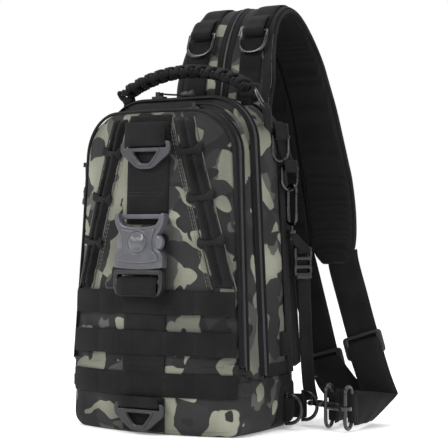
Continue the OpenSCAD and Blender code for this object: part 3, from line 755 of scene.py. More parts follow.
frame_rows = []
for y, push in ((-47.4, 0.0), (-44, 0.5), (-38, 1.6), (-32, 1.8), (-27, 1.0)):
    low_p, _ = upper_curve(POCKET, rim(y) + 0.9)
    frame_rows.append(lean_row(loft([low_p], [y], [push])[0]))
low_p, _ = upper_curve(POCKET, rim(-19) + 0.5)
low_m, _ = upper_curve(MAIN, rim(-19) + 0.5)
step_row = loft([between(low_p, low_m, 0.45)], [-19.0], [0.2])[0]
frame_rows.append([(p[0], min(p[1] + 0.028 * max(p[2] - 120, 0), -15.5), p[2]) for p in step_row])
for y, push in ((-16.0, 0.6), (-12.5, 1.0), (-8.2, 0.0)):
    low_m, _ = upper_curve(MAIN, rim(y) + 0.3)
    frame_rows.append(loft([low_m], [y], [push])[0])
verts = [p for row in frame_rows for p in row]
mid = make("mid_frame_skin", verts, grid_faces(len(frame_rows), len(low_p)), [CAMO, LINING])
finish_shell(mid, 2.4, (0, -28, 200))
crumple(mid, 0.9, 30, 3.0)
place(mid, "main_flap", "mid_frame")

# low collar of the frame, round the front below the pocket's fold
plan = [(half_width(POCKET, 66), y) for y in np.linspace(-26, -50, 8)]
plan += [(half_width(POCKET, 66) - 6.5 * (1 - math.cos(a)), bulge(104) + 6.5 - 6.5 * math.sin(a))
         for a in np.linspace(0, math.pi / 2, 6)]
plan += [(x, bulge(x) + 0.7) for x in np.linspace(94, 0, 24)]
plan = plan + [(-x, y) for x, y in plan[::-1][1:]]
verts = []
for f in np.linspace(0, 1, 5):
    for x, y in plan:
        low_z = rim(y) + 0.4
        verts.append((x, y, low_z + f * (70.4 - low_z)))
collar = make("frame_collar", verts, grid_faces(5, len(plan)), [CAMO, LINING])
face_out(collar, lambda p: (p[0], p[1] + 20, 0))
solidify(collar, 2.0, inner=1)
place(collar, "main_flap")

low_p, _ = upper_curve(POCKET, FOLD_Z + 0.5)
inner = [(x * 0.975, z - (3.0 if z > 200 else 0.0)) for x, z in low_p]


def wall_face(x, z):
    """Depth of the wall between the compartments, bulged a little to the front."""
    return -25.0 - 3.0 * math.cos(math.pi * x / POCKET[0]) * math.sin(math.pi * min(z / POCKET[2], 1))


wall_edge = [[(x, -22.5, z) for x, z in inner]]
divider = make("divider_wall", *closed_shell(wall_edge, inner, m, 2.0, wall_face, -1), LINING)
finish_shell(divider, 0, (0, 60, 200))
lean_object(divider)
place(divider, "main_flap")

# rear half of the main compartment, from the main zip back to the rounded rear edge
REAR_START_Y = -7.6
REAR_EDGE_Y = 51.0
REAR_RADIUS = BACK_Y - REAR_EDGE_Y
rear_curve, rear_side = upper_curve(MAIN, SEAM_Z + 0.3)


def rear_part(y):
    """How far back a depth is in the rear shell, from 0 to 1."""
    return min(max((y - REAR_START_Y) / (REAR_EDGE_Y - REAR_START_Y), 0), 1)


def rear_puff(t):
    """How far the rear shell's wall bulges out along its outline, t of the way back."""
    return lambda u: 0.3 + 2.4 * math.sin(math.pi * t) * (0.5 + 0.5 * abs(math.sin(math.pi * u * 3)))


steps = np.linspace(0, 1, 9)
rows = loft([rear_curve] * 9, [REAR_START_Y + (REAR_EDGE_Y - REAR_START_Y) * t for t in steps],
            [rear_puff(t) for t in steps])


def back_face(x, z):
    return BACK_Y - 0.6 * math.sin(math.pi * z / 340)


rear_part_mesh = closed_shell(rows, rear_curve, rear_side, REAR_RADIUS, back_face, 1)
rear = make("rear_shell_skin", *rear_part_mesh, [CAMO, LINING])
finish_shell(rear, 2.6, (0, 25, 180))
crumple(rear, 1.0, 36, 7.0, keep=lambda p: 0.3 if p[1] > 58 else 1.0)
place(rear, "bag", "rear_shell")

# tub
def tub_curve(y):
    return lower_curve(MAIN, rim(y) - 0.1)


def tub_puff(y):
    """How far the tub's wall bulges out along its outline at a depth."""
    u = (y + 49) / 100.0
    return lambda f: 0.2 + 1.6 * math.sin(math.pi * u) * math.sin(math.pi * f) ** 0.5


def tub_front(x, z):
    return bulge(x) + 2.5 * max(0.0, (14 - z) / 14.0) ** 2


tub_rows = []
for y in (51.0, 40.0, 26.0, 12.0, -2.0, -7.9, -8.1, -22.0, -36.0, -49.0):
    low, tub_side = tub_curve(y)
    tub_rows += loft([low], [y], [tub_puff(y)])
front_low, _ = tub_curve(-60.0)
front_row = [(x, min(bulge(x) + 5.0, -50.0), z) for x, z in front_low]
tub_front_part = closed_shell(tub_rows + [front_row], front_low, tub_side, 5.0, tub_front, -1)
back_low, _ = tub_curve(51.0)
tub_back_part = closed_shell(tub_rows[:1], back_low, tub_side, REAR_RADIUS, lambda x, z: BACK_Y, 1)
tub = merge("bottom_tub_skin", [tub_front_part, tub_back_part], [CAMO, LINING])
clean(tub, weld=0.02)
finish_shell(tub, 2.8, (0, -5, 60))
crumple(tub, 0.9, 32, 9.0, keep=lambda p: 0.0 if p[2] < 2 else 1.0)
for v in tub.data.vertices:
    v.co.z = max(v.co.z, 0.0)
place(tub, "bag", "bottom_tub")


# ---------- bands and webbing on the front ----------

BAND_HEIGHT = 25.0

def band(name, z0, half, depth, columns, body, node_name=None, leaned=True):
    """Ladder band: lies on the curved front, sewn down at the columns and bulging between them."""
    xs = np.linspace(-half, half, 161)

    def lift(x):
        stops = [-half] + columns + [half]
        for a, b in zip(stops, stops[1:]):
            if a <= x <= b:
                f = (x - a) / (b - a)
                return 1.5 * math.sin(math.pi * f) ** 0.7
        return 0.0

    rows = []
    for x in xs:
        y = bulge(x, depth)
        n = Vector((x, -(BULGE_Y - y), 0)).normalized()
        sag = 0.5 * wrinkle((x, z0, 0), 22, z0)
        rows.append(((x, y, z0 + sag), (x, y, z0 + BAND_HEIGHT + sag), tuple(n)))

    def wave(i, u):
        return lift(xs[i]) * (0.75 + 0.25 * math.sin(math.pi * u))

    obj = make(name, *ribbon(rows, 1.5, cols=9, wave=wave), WEB_V)
    subdivide(obj)
    threads = []
    for x in [-half + 3] + columns + [half - 3]:
        for d in (-1.1, 1.1):
            y = bulge(x + d, depth + 1.75)
            seam = [(x + d, y, z0 + 1.5), (x + d, y, z0 + BAND_HEIGHT - 1.5)]
            threads.append(stitches(seam, (x, -(BULGE_Y - y), 0), 1.9, 1.0, 0.3))
    sewn = merge(name + "_stitches", threads, DARK_THREAD)
    for o in (obj, sewn):
        if leaned:
            lean_object(o)
    place(obj, body, node_name)
    place(sewn, body)


columns = [-60.0, -26.0, 26.0, 60.0]
band("band_upper", 123.0, 99.0, 1.75, columns, "pocket_flap", "ladder_bands")
band("band_middle", 81.0, 101.0, 1.75, columns, "pocket_flap")
band("band_lower", 39.0, 101.6, 0.3, columns, "bag", "lower_ladder_band", leaned=False)


def centre_run(name, z0, z1, depth, body, node_name=None, half=26.0, leaned=True):
    """Wide webbing down the middle of the front, from z0 to z1."""
    zs = np.linspace(z0, z1, max(int((z1 - z0) / 2.5), 4))
    rows = []
    for z in zs:
        y = bulge(half, depth)
        top = 3.2 * max(0.0, (z - 296) / 38.0) ** 2 if leaned else 0.0
        rows.append(((-half, y + top, z), (half, y + top, z), (0, -1, 0)))
    sag = bulge(half, 0) - bulge(0, 0)

    def wave(i, u):
        return 0.35 * wrinkle((u * 50, 0, zs[i]), 16, 2.0)

    obj = make(name, *ribbon(rows, 1.5, dome=sag, cols=13, wave=wave), WEB_H)
    if leaned:
        lean_object(obj)
    place(obj, body, node_name)


centre_run("centre_webbing_upper", 216, 330, 0.2, "pocket_flap", "centre_webbing")
centre_run("centre_webbing_fold", 298, 322, 1.9, "pocket_flap", half=25.0)
centre_run("centre_webbing_lower", 74.5, 134, 0.2, "pocket_flap")
centre_run("lower_ring_webbing", 3, 38, 0.2, "bag", "lower_ring_loop", leaned=False)

# stitched boxes on the webbing
threads = []
for z, out in ((305.0, 3.4), (318.0, 3.4), (246.0, 2.5), (249.0, 2.5)):
    y = bulge(22) - out
    threads.append(stitches([(-24, y, z), (24, y, z)], (0, -1, 0), 2.4, 1.2, 0.35))
box = merge("webbing_stitches", threads, DARK_THREAD)
lean_object(box)
place(box, "pocket_flap")

def beside_channel(s, off, z0, z1, n):
    """Line on the cover beside a channel, off from its middle; s is the side of the bag."""
    line = []
    for z in np.linspace(z0, z1, n):
        x = s * (channel_x(z) + off)
        line.append((x, cover_skin(x, z) - 0.3, z))
    return line


# double stitch lines down both sides of the centre panel, and the light cords along the channels
threads, cords = [], []
for s in (-1, 1):
    for off in (-14.2, -16.8):
        threads.append(stitches(beside_channel(s, off, 322, 150, 40), (0, -1, 0), 3.4, 0.9, 0.3))
    for off, r in ((-12.0, 0.85), (12.0, 0.7)):
        cords.append(tube_along(beside_channel(s, off, 327, 149, 60), r, 8))
lines = merge("panel_stitches", threads, THREAD)
cords_obj = merge("panel_cords", cords, PIPING)
for o in (lines, cords_obj):
    lean_object(o)
    place(o, "pocket_flap")


TACKS = (327.0, 291.0, 243.0, 197.0, 151.0)      # heights where the channels are sewn down


def channel(s):
    """Gathered sleeve down the panel: two soft ridges, flat at the tacks and flared beside them."""
    n, c = 230, 33
    verts = []
    for i in range(n):
        z = TACKS[0] - i / (n - 1) * (TACKS[0] - TACKS[-1])
        above = min([t for t in TACKS if t >= z - 0.01])
        below = max([t for t in TACKS if t <= z + 0.01])
        from_top, from_low = above - z, z - below
        near = min(from_top, from_low)
        puff = min(near / 5.5, 1.0)
        puff = 0.10 + 0.90 * math.sin(math.pi / 2 * puff) ** 0.6
        flare = math.exp(-(from_top / 9.0) ** 2) * 2.6 + math.exp(-(from_low / 7.0) ** 2) * 1.2
        pinch = 3.0 * math.exp(-(near / 2.2) ** 2)
        width = 9.6 + flare - pinch + 0.7 * wrinkle((0, 0, z), 10, 3 * s)
        x0 = s * channel_x(z)
        drift = 1.1 * wrinkle((4, 0, z), 17, 5 + s)
        for j in range(c):
            w = -math.cos(math.pi * j / (c - 1))
            ridge_a = math.exp(-((w * s + 0.42 + 0.06 * drift) / 0.36) ** 2)
            ridge_b = 0.80 * math.exp(-((w * s - 0.50 + 0.05 * drift) / 0.30) ** 2)
            body = 0.30 * math.sqrt(max(1 - w * w, 0.0))
            rim_ = math.sqrt(max(1 - w ** 4, 0.0))
            fold = 0.55 * wrinkle((w * 7, near * 0.6, z), 6, 4 * s) + 0.35 * wrinkle((w * 10, 0, z), 2.4, 8)
            fold += 1.1 * math.exp(-(near / 3.5) ** 2) * math.sin(5.5 * w + s)
            h = (6.6 * puff * max(ridge_a, ridge_b) + 6.0 * puff * body + fold * (0.3 + puff)) * rim_ + 0.3
            verts.append((x0 + w * width, cover_skin(x0 + w * width, z) + 0.5 - max(h, 0.0), z))
    obj = make("channel_left" if s < 0 else "channel_right", verts, grid_faces(n, c), CLOTH)
    face_out(obj, lambda p: (0, -1, 0))
    solidify(obj, 0.8)
    lean_object(obj)
    return obj


def bow_fold(s, z, name):
    """Folded cloth where a channel is tacked down: narrow in the middle, flared towards both ends."""
    verts = []
    across, around = 15, 12
    for i in range(across):
        u = -1 + 2 * i / (across - 1)
        x = s * channel_x(z) + 14.0 * u
        tall = (3.4 + 3.2 * u * u) * (1.0 if abs(u) < 0.97 else 0.55)
        thick = (4.4 - 1.4 * u * u) * (1.0 if abs(u) < 0.97 else 0.5)
        droop = 2.0 * u * s + 1.6 * abs(u)
        for k in range(around):
            q = 2 * math.pi * k / around
            crease = 1 + 0.26 * math.sin(4 * q + 2.6 * u)
            verts.append((x, cover_skin(x, z) - 3.0 - thick * math.cos(q) * crease,
                          z + droop + tall * math.sin(q) * crease))
    faces = grid_faces(across, around, close_cols=True)
    faces.append(list(range(around)))
    faces.append([(across - 1) * around + k for k in range(around)][::-1])
    obj = make(name, verts, faces, CLOTH)
    lean_object(obj)
    return obj


for s in (-1, 1):
    side_name = "left" if s < 0 else "right"
    place(channel(s), "pocket_flap", "diagonal_loops" if s < 0 else None)
    for k, z in enumerate(TACKS[1:-1]):
        place(bow_fold(s, z, "channel_fold_%s_%d" % (side_name, k)), "pocket_flap")


# cloth that joins the flaps to the tub across the fold line
def fold_strip(name, z0, z1, half, out, mat, leaned):
    """Band of cloth round the front fold; when leaned, its upper half leans with the pocket."""
    verts = []
    levels = np.linspace(z0, z1, 9)
    for z in levels:
        f = (z - z0) / (z1 - z0)
        w = half if half else half_width(POCKET, z) - 1.2
        for x in np.linspace(-w, w, 61):
            p = (x, bulge(x) + 0.5 - out - 0.4 * math.sin(math.pi * f), z)
            verts.append(lean(p) if (leaned and f > 0.5) else p)
    obj = make(name, verts, grid_faces(len(levels), 61), mat)
    face_out(obj, lambda p: (0, -1, 0))
    solidify(obj, 1.0)
    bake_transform(obj)
    return obj


fold_strip("fold_cloth_lower", 60.5, 69.6, 0, 0.0, CAMO, False)
fold_strip("fold_cloth_upper", 68.4, 74.5, 0, 0.0, CAMO, True)
fold_strip("fold_webbing_lower", 60.0, 70.0, 26, 1.7, WEB_H, False)
fold_strip("fold_webbing_upper", 68.2, 82.0, 26, 1.7, WEB_H, True)


# ---------- plates cut from outlines ----------

def rounded(points, r, steps=5):
    """Polygon with every corner rounded by about r."""
    out, n = [], len(points)
    for k in range(n):
        p, a, b = Vector(points[k]), Vector(points[k - 1]), Vector(points[(k + 1) % n])
        da, db = (a - p), (b - p)
        ra, rb = min(r, da.length * 0.48), min(r, db.length * 0.48)
        s, e = p + da.normalized() * ra, p + db.normalized() * rb
        for t in np.linspace(0, 1, steps):
            out.append(tuple(s * (1 - t) ** 2 + p * (2 * t * (1 - t)) + e * t ** 2))
    return out


def rounded_run(points, r):
    """Open line with its inner corners rounded; both ends stay."""
    closed = rounded(points, r)
    per_corner = len(closed) // len(points)
    return [points[0]] + closed[per_corner:-per_corner] + [points[-1]]


def circle(x, y, r):
    turns = [2 * math.pi * k / 28 for k in range(28)]
    return [(x + r * math.cos(a), y + r * math.sin(a)) for a in turns]


def sharp(obj, angle):
    """Splits the edges sharper than an angle in degrees, so that they shade sharp."""
    split = obj.modifiers.new("sharp", "EDGE_SPLIT")
    split.split_angle = math.radians(angle)


def plate(name, loops, z0, z1, edge, mat):
    """Flat plate from z0 to z1 with rounded edges; loops after the first, its outline, are holes."""
    data = bpy.data.curves.new(name, "CURVE")
    data.dimensions = "2D"
    data.fill_mode = "BOTH"
    for loop in loops:
        spline = data.splines.new("POLY")
        spline.points.add(len(loop) - 1)
        for pt, q in zip(spline.points, loop):
            pt.co = (q[0] * MM, q[1] * MM, 0, 1)
        spline.use_cyclic_u = True
    data.offset = -edge * MM
    data.extrude = ((z1 - z0) / 2 - edge) * MM
    data.bevel_depth = edge * MM
    data.bevel_resolution = 2
    temp = bpy.data.objects.new(name + "_outline", data)
    bpy.context.scene.collection.objects.link(temp)
    bpy.context.view_layer.update()
    mesh = bpy.data.meshes.new_from_object(temp.evaluated_get(bpy.context.evaluated_depsgraph_get()))
    bpy.data.objects.remove(temp)
    mesh.transform(Matrix.Translation((0, 0, (z0 + z1) / 2 * MM)))
    mesh.materials.clear()
    mesh.materials.append(mat)
    obj = bpy.data.objects.new(name, mesh)
    bpy.context.scene.collection.objects.link(obj)
    for p in mesh.polygons:
        p.use_smooth = True
    sharp(obj, 32)
    return obj


def join(name, objs):
    """Joins meshes that keep their own materials."""
    bm = bmesh.new()
    mats = []
    for o in objs:
        start = len(bm.faces)
        bm.from_mesh(o.data)
        bm.faces.ensure_lookup_table()
        for f in bm.faces[start:]:
            m = o.data.materials[min(f.material_index, len(o.data.materials) - 1)]
            if m not in mats:
                mats.append(m)
            f.material_index = mats.index(m)
    mesh = bpy.data.meshes.new(name)
    bm.to_mesh(mesh)
    bm.free()
    for m in mats:
        mesh.materials.append(m)
    obj = bpy.data.objects.new(name, mesh)
    bpy.context.scene.collection.objects.link(obj)
    sharp(obj, 40)
    for o in objs:
        bpy.data.objects.remove(o)
    return obj


UP_FRONT = Matrix.Rotation(math.pi / 2, 4, "X")


def mm_at(x, y, z):
    return Matrix.Translation((x * MM, y * MM, z * MM))


# triangular rings
RING_Y = FRONT_Y - 5.6
LOW_RING_Y = FRONT_Y - 7.4


def triangle(name, matrix, mat):
    """Triangular ring with a webbing slot along its top and a raised rim round its hole."""
    outline = rounded([(-31, 1.8), (31, 1.8), (31, -10.5), (9, -27), (-9, -27), (-31, -10.5)], 5.0)
    hole = rounded([(-15.5, -9), (15.5, -9), (5.0, -21), (-5.0, -21)], 3.0)
    slot = rounded([(-25.6, -1.9), (25.6, -1.9), (25.6, -4.8), (-25.6, -4.8)], 1.2)
    base = plate(name + "_base", [outline, hole, slot], -2.0, 2.0, 1.1, mat)
    rim_out = rounded([(-20, -6.2), (20, -6.2), (7.5, -24.5), (-7.5, -24.5)], 4.0)
    rim_in = rounded([(-16.5, -8.2), (16.5, -8.2), (5.6, -22), (-5.6, -22)], 3.2)
    ridge = plate(name + "_ridge", [rim_out, rim_in], 1.2, 2.9, 0.7, mat)
    obj = join(name, [base, ridge])
    obj.data.transform(matrix @ UP_FRONT)
    place(obj, name + "_ring", name + "_ring")


UPPER_BAR_Z = 300
LOWER_BAR_Z = 31
triangle("upper_triangle", LEAN_M @ mm_at(0, RING_Y, UPPER_BAR_Z), TRIANGLE)
triangle("lower_triangle", mm_at(0, LOW_RING_Y, LOWER_BAR_Z), TRIANGLE_DARK)


def edges_of(path, w):
    """Rows of a strip of width w along a path of (depth, height) points."""
    rows = []
    for k, (y, z) in enumerate(path):
        a, b = path[max(k - 1, 0)], path[min(k + 1, len(path) - 1)]
        n = Vector((0, b[1] - a[1], -(b[0] - a[0]))).normalized()
        rows.append(((-w / 2, y, z), (w / 2, y, z), tuple(n)))
    return rows


def sleeve(name, y, z, r, w, tail_up, body, leaned):
    """Webbing that comes down the front, wraps the bar of a ring and goes back up behind."""
    path = [(y - r, z + tail_up * f) for f in (1.0, 0.75, 0.5, 0.25)]
    path += [(y - r * math.cos(a), z - r * math.sin(a)) for a in np.linspace(0, math.pi, 11)]
    path += [(y + r, z + tail_up * f) for f in (0.25, 0.5, 1.0)]
    obj = make(name, *ribbon(edges_of(path, w), 1.3, cols=7), WEB_H)
    if leaned:
        lean_object(obj)
    place(obj, body)


sleeve("upper_ring_sleeve", RING_Y, UPPER_BAR_Z, 2.2, 50, 22, "pocket_flap", True)
sleeve("lower_ring_sleeve", LOW_RING_Y, LOWER_BAR_Z, 2.2, 50, 8, "bag", False)

# buckle
BUCKLE_Y = FRONT_Y - 4.4
BUCKLE_M = LEAN_M @ mm_at(0, BUCKLE_Y, 170) @ UP_FRONT


def smile(x0, x1, y, sag):
    """Line from x0 to x1 at y that sags in the middle."""
    return [(x, y - sag * math.sin(math.pi * k / 12)) for k, x in enumerate(np.linspace(x0, x1, 13))]


side_line = rounded_run([(29.8, 0.8), (30, 12), (27.5, 17), (21.5, 20), (20.5, 27), (21.5, 33), (26, 38.5),
                        (29.8, 46), (31.5, 56), (26.4, 57), (24.0, 49), (20.5, 44.6)], 2.6)
outline = smile(-29.2, 29.2, 0.2, 2.0)[1:-1] + side_line + smile(20.0, -20.0, 44.2, 2.4)[1:-1]
outline += [(-x, y) for x, y in reversed(side_line)]
body_plate = plate("socket_plate", [outline], 1.0, 11.2, 1.3, BUCKLE)
bar_edge = rounded([(-30, 51), (30, 51), (30, 56), (-30, 56)], 1.6)
back_bar = plate("socket_bar", [bar_edge], 1.0, 4.2, 1.0, BUCKLE)
crown_side = rounded_run([(25.6, 7.4), (25.0, 12.5), (18.0, 19), (17.0, 27), (18.6, 35), (21.5, 40.6)],
                         2.4)
crown = smile(-24.6, 24.6, 6.8, 2.2)[1:-1] + crown_side + smile(20.6, -20.6, 40.8, 2.2)[1:-1]
crown += [(-x, y) for x, y in reversed(crown_side)]
crown_plate = plate("socket_crown", [crown], 10.2, 12.6, 1.4, BUCKLE)
collar_ring = plate("socket_collar", [circle(0, 26.5, 13.4), circle(0, 26.5, 11.4)], 12.0, 13.4, 0.6, BUCKLE)
dome = []
for r, z_ in ((11.3, 12.4), (10.9, 13.6), (9.6, 14.6), (7.4, 15.3), (4.4, 15.7), (1.6, 15.8)):
    for q in np.linspace(0, 2 * math.pi, 40, endpoint=False):
        high, low = (math.exp(-((r * math.sin(q) + side * 5.6) / 2.0) ** 2) for side in (-1, 1))
        dip = 1.9 * (high + low)
        dip *= math.exp(-(r * math.cos(q) / 6.5) ** 4)
        dome.append((r * math.cos(q), 26.5 + r * math.sin(q), z_ - dip))
dome_faces = grid_faces(6, 40, close_cols=True)
dome_faces.append([5 * 40 + k for k in range(40)])
boss = make("socket_boss", dome, dome_faces, BUCKLE)
socket = join("buckle_socket_body", [body_plate, back_bar, crown_plate, collar_ring, boss])
socket.data.transform(BUCKLE_M)
place(socket, "pocket_flap", "buckle_socket")

for s, label in ((-1, "left"), (1, "right")):
    stem_edge = [(s * x, y) for x, y in ((12, 0.6), (18, 0.6), (22, 14), (25, 20), (18, 24), (16, 12))]
    stem = plate("arm_stem", [rounded(stem_edge, 2.0)], 3.0, 8.6, 1.2, BUCKLE)
    tip_edge = [(s * 22.2 + 6.2 * math.cos(q), 26.5 + 8.2 * math.sin(q))
                for q in np.linspace(0, 2 * math.pi, 32, endpoint=False)]
    tip = plate("arm_tip", [tip_edge], 2.4, 10.2, 2.6, BUCKLE_LIGHT)
    arm = join("buckle_arm_look_" + label, [stem, tip])
    arm.data.transform(BUCKLE_M)
    place(arm, "buckle_arm_" + label, "buckle_arm_" + label)

frame_shape = rounded([(-30, -1.2), (30, -1.2), (30.4, -20), (26, -29), (-26, -29), (-30.4, -20)], 4.5)
window_a = rounded([(-25.5, -16.4), (25.5, -16.4), (24.5, -24.4), (-24.5, -24.4)], 2.0)
window_b = rounded([(-25.5, -6.8), (25.5, -6.8), (25.5, -11.8), (-25.5, -11.8)], 1.4)
plug_plate = plate("plug_plate", [frame_shape, window_a, window_b], 1.0, 11.4, 1.7, PLASTIC)
ridge_edge = rounded([(-28, -2.2), (28, -2.2), (28, -5.6), (-28, -5.6)], 1.2)
ridge = plate("plug_ridge", [ridge_edge], 10.2, 12.4, 0.8, PLASTIC)
plug = join("buckle_plug_body", [plug_plate, ridge])
plug.data.transform(BUCKLE_M)
place(plug, "plug", "buckle_plug")


# webbing over the plug's bar: up the back, over the top and down the front
WRAP_DEPTH, WRAP_R = 6.4, 5.4
wrap_low, wrap_high = -28.5, -15.0
wrap_mid = (wrap_low + wrap_high) / 2
path = [(WRAP_DEPTH - WRAP_R, wrap_low), (WRAP_DEPTH - WRAP_R, wrap_mid)]
path += [(WRAP_DEPTH - WRAP_R * math.cos(a), wrap_high + WRAP_R * math.sin(a))
         for a in np.linspace(0, math.pi, 9)]
path += [(WRAP_DEPTH + WRAP_R, wrap_mid), (WRAP_DEPTH + WRAP_R, wrap_low)]
rows = []
for k, (depth, y) in enumerate(path):
    a, b = path[max(k - 1, 0)], path[min(k + 1, len(path) - 1)]
    n = Vector((0, -(b[0] - a[0]), (b[1] - a[1]))).normalized()
    rows.append(((-24.5, y, depth), (24.5, y, depth), tuple(-n)))
plug_wrap = make("plug_wrap", *ribbon(rows, 1.2, cols=7), WEB_H)
plug_wrap.data.transform(BUCKLE_M)
place(plug_wrap, "plug", "plug_webbing")


# ---------- zips ----------

def zip_half(name, o, y, s, z_low, leaned, body, cad_node):
    """Tape, piped welt and coil of one side of a zip; s is the side the tape lies on."""
    curve, _ = upper_curve(o, z_low, side_steps=60, arc_steps=24, flat_steps=24)
    normals = curve_normals(curve)
    profile = [(0.1, 0.4), (0.2, 1.2), (2.4, 1.3), (3.0, 1.5), (3.6, 2.6), (4.8, 3.3), (6.2, 2.9),
               (7.0, 1.7), (7.8, 1.3), (9.4, 1.2), (9.9, 0.2)]      # (away from the teeth, height)
    verts = []
    for (x, z), (nx, nz) in zip(curve, normals):
        for d, h in profile:
            hh = h + 0.12 * wrinkle((x, d, z), 7, 3)
            verts.append((x + nx * hh, y + s * d, z + nz * hh))
    tape = make(name, verts, grid_faces(len(curve), len(profile)), TAPE)
    face_out(tape, lambda p: (p[0], 0, p[2] - 150))
    fine, _ = upper_curve(o, z_low, side_steps=300, arc_steps=80, flat_steps=100)
    fine_n = curve_normals(fine)
    path = [(x + nx * 1.5, y + s * 1.0, z + nz * 1.5) for (x, z), (nx, nz) in zip(fine, fine_n)]
    radii = [0.75 if k % 2 else 1.2 for k in range(len(path))]
    coil = make(name + "_coil", *tube_along(path, radii, 6), COIL)
    for obj in (tape, coil):
        if leaned:
            lean_object(obj)
    place(tape, body, cad_node)
    place(coil, body)


zip_half("main_zip_rear", MAIN, ZIP_MAIN_Y + 0.3, 1, 58.6, False, "bag", "main_zip_rear_tape")
zip_half("main_zip_front", MAIN, ZIP_MAIN_Y - 0.1, -1, 60.0, False, "main_flap", "main_zip_front_tape")
zip_half("pocket_zip_rear", POCKET, ZIP_POCKET_Y, 1, 68.0, True, "main_flap", "pocket_zip_rear_tape")
zip_half("pocket_zip_front", POCKET, ZIP_POCKET_Y - 0.4, -1, 72.5, True, "pocket_flap",
         "pocket_zip_front_tape")


# ---------- shoulder strap ----------

# stations along the strap, up from the bag and over: x of its left edge, seam and right edge, depth, height
STRAP = [
    [-50, 9, 68, 65.7, 322], [-49, 10, 70, 66.2, 350], [-49, 12, 73, 68, 375], [-44, 13, 71, 72, 402],
    [-38, 15, 69, 80, 428], [-34, 18, 70, 90, 447], [-31, 21, 74, 104, 456], [-26, 26, 79, 119, 450],
    [-20, 32, 85, 133, 431], [-12, 41, 94, 142, 403], [-6, 48, 101, 146, 376], [0, 55, 109, 148, 347],
    [6, 61, 117, 148, 315], [11, 66, 124, 147, 288]]
# stations of the two tails below the seam: x of the left and right edge, depth, height
PAD_R = [[72.5, 130, 145, 266], [81, 137, 139, 233], [88, 141, 132, 204], [96, 140, 127, 186],
         [106, 132, 125, 175]]
PAD_L = [[14, 69, 147, 262], [24, 78, 142, 232], [32, 86, 135, 204], [40, 88, 132, 186], [50, 80, 131, 175]]


def smooth(rows, n):
    """Catmull-Rom curve through rows of numbers, cut into n rows."""
    p = np.array(rows, float)
    p = np.vstack([2 * p[0] - p[1], p, 2 * p[-1] - p[-2]])
    out = []
    for u in np.linspace(0, len(rows) - 1 - 1e-6, n):
        k, t = int(u), u - int(u)
        a, b, c, d = p[k], p[k + 1], p[k + 2], p[k + 3]
        square, cube = 2 * a - 5 * b + 4 * c - d, 3 * b - a - 3 * c + d
        out.append(0.5 * (2 * b + (c - a) * t + square * t ** 2 + cube * t ** 3))
    return out


def strap_rows(left, right, n):
    """Left edge, right edge and outward normal at n places along the strap."""
    rows = smooth([[*a, *b] for a, b in zip(left, right)], n)
    out = []
    for k, r in enumerate(rows):
        a, b = rows[max(k - 1, 0)], rows[min(k + 1, n - 1)]
        along = Vector(b[:3] + b[3:] - a[:3] - a[3:])
        across = Vector(r[3:] - r[:3])
        nrm = across.cross(along).normalized()
        out.append((Vector(r[:3]), Vector(r[3:]), nrm))
    return out


def outer_side(rows):
    """1 if the stored normals point to the strap's outer face, which looks forwards at its foot, or -1."""
    return -1.0 if rows[4][2].y > 0 else 1.0


def pad_half(name, c0, c1, tail, body_node, seed):
    """Padded half of the strap: camo outside, mesh inside, and thin at the bound edges."""
    left = [(r[c0], r[3], r[4]) for r in STRAP] + [(r[0], r[2], r[3]) for r in tail]
    right = [(r[c1], r[3], r[4]) for r in STRAP] + [(r[1], r[2], r[3]) for r in tail]
    rows = strap_rows(left, right, 110)
    face_side = outer_side(rows)
    cols, verts = 25, []
    for i, (a, b, n) in enumerate(rows):
        end = min(1.0, (i + 0.5) / 5.0, (len(rows) - i - 0.5) / 3.5)
        ridge = 0.8 * math.sin(i * 1.9) if i > len(rows) - 26 else 0.0
        for side in (1, -1):
            us = np.linspace(0, 1, cols) if side > 0 else np.linspace(1, 0, cols)[1:-1]
            for u in us:
                edge = min(u, 1 - u) * (b - a).length
                crown = min(1.0, edge / 9.0)
                soft = 4.4 + 0.6 * wrinkle(tuple(a.lerp(b, u)), 26, seed)
                h = 1.4 + soft * math.sqrt(crown * (2 - crown)) * end
                h += ridge * crown * 0.5
                if side < 0:
                    quilt = 0.5 * crown * math.sin(i * 0.9) if 0.1 < u < 0.9 else 0.0
                    h = 1.4 + (h - 1.4) * 0.9 + quilt
                verts.append(tuple(a.lerp(b, u) + n * (side * h)))
    ring = cols * 2 - 2
    obj = make(name, verts, capped_faces(len(rows), ring), [CAMO, MESH])
    for i, p in enumerate(obj.data.polygons):
        col = i % ring
        p.material_index = 1 if col >= cols - 1 else 0
    clean(obj)
    place(obj, "bag", body_node)
    tapes = []
    for edge, out_dir in ((0, -1), (1, 1)):
        path = []
        for a, b, n in rows:
            across = (b - a).normalized()
            p = (a if edge == 0 else b) + across * (out_dir * 0.3)
            path.append(tuple(p))
        v, f = tube_along(path, 2.5, 10, flat=0.8)
        tapes.append((v, f))
        if (c0, edge) != (0, 1) and (c0, edge) != (1, 0):
            face_rows = []
            for a, b, n in rows:
                across = (b - a).normalized() * (-out_dir)
                base_pt = (a if edge == 0 else b)
                near = base_pt + n * (face_side * 3.2)
                far = base_pt + across * 9.0 + n * (face_side * 5.4)
                pair = (near, far) if edge == 0 else (far, near)
                face_rows.append((*pair, n * face_side))
            tapes.append(ribbon(face_rows, 1.0, dome=0.5, cols=6))
    a, b, n = rows[-1]
    tapes.append(tube_along([tuple(a), tuple(a.lerp(b, 0.5)), tuple(b)], 2.4, 10))
    trim = merge(name + "_binding", tapes, BINDING)
    place(trim, "bag")


pad_half("pad_left", 0, 1, PAD_L, "strap_pad_left", 2.0)
pad_half("pad_right", 1, 2, PAD_R, "strap_pad_right", 4.0)


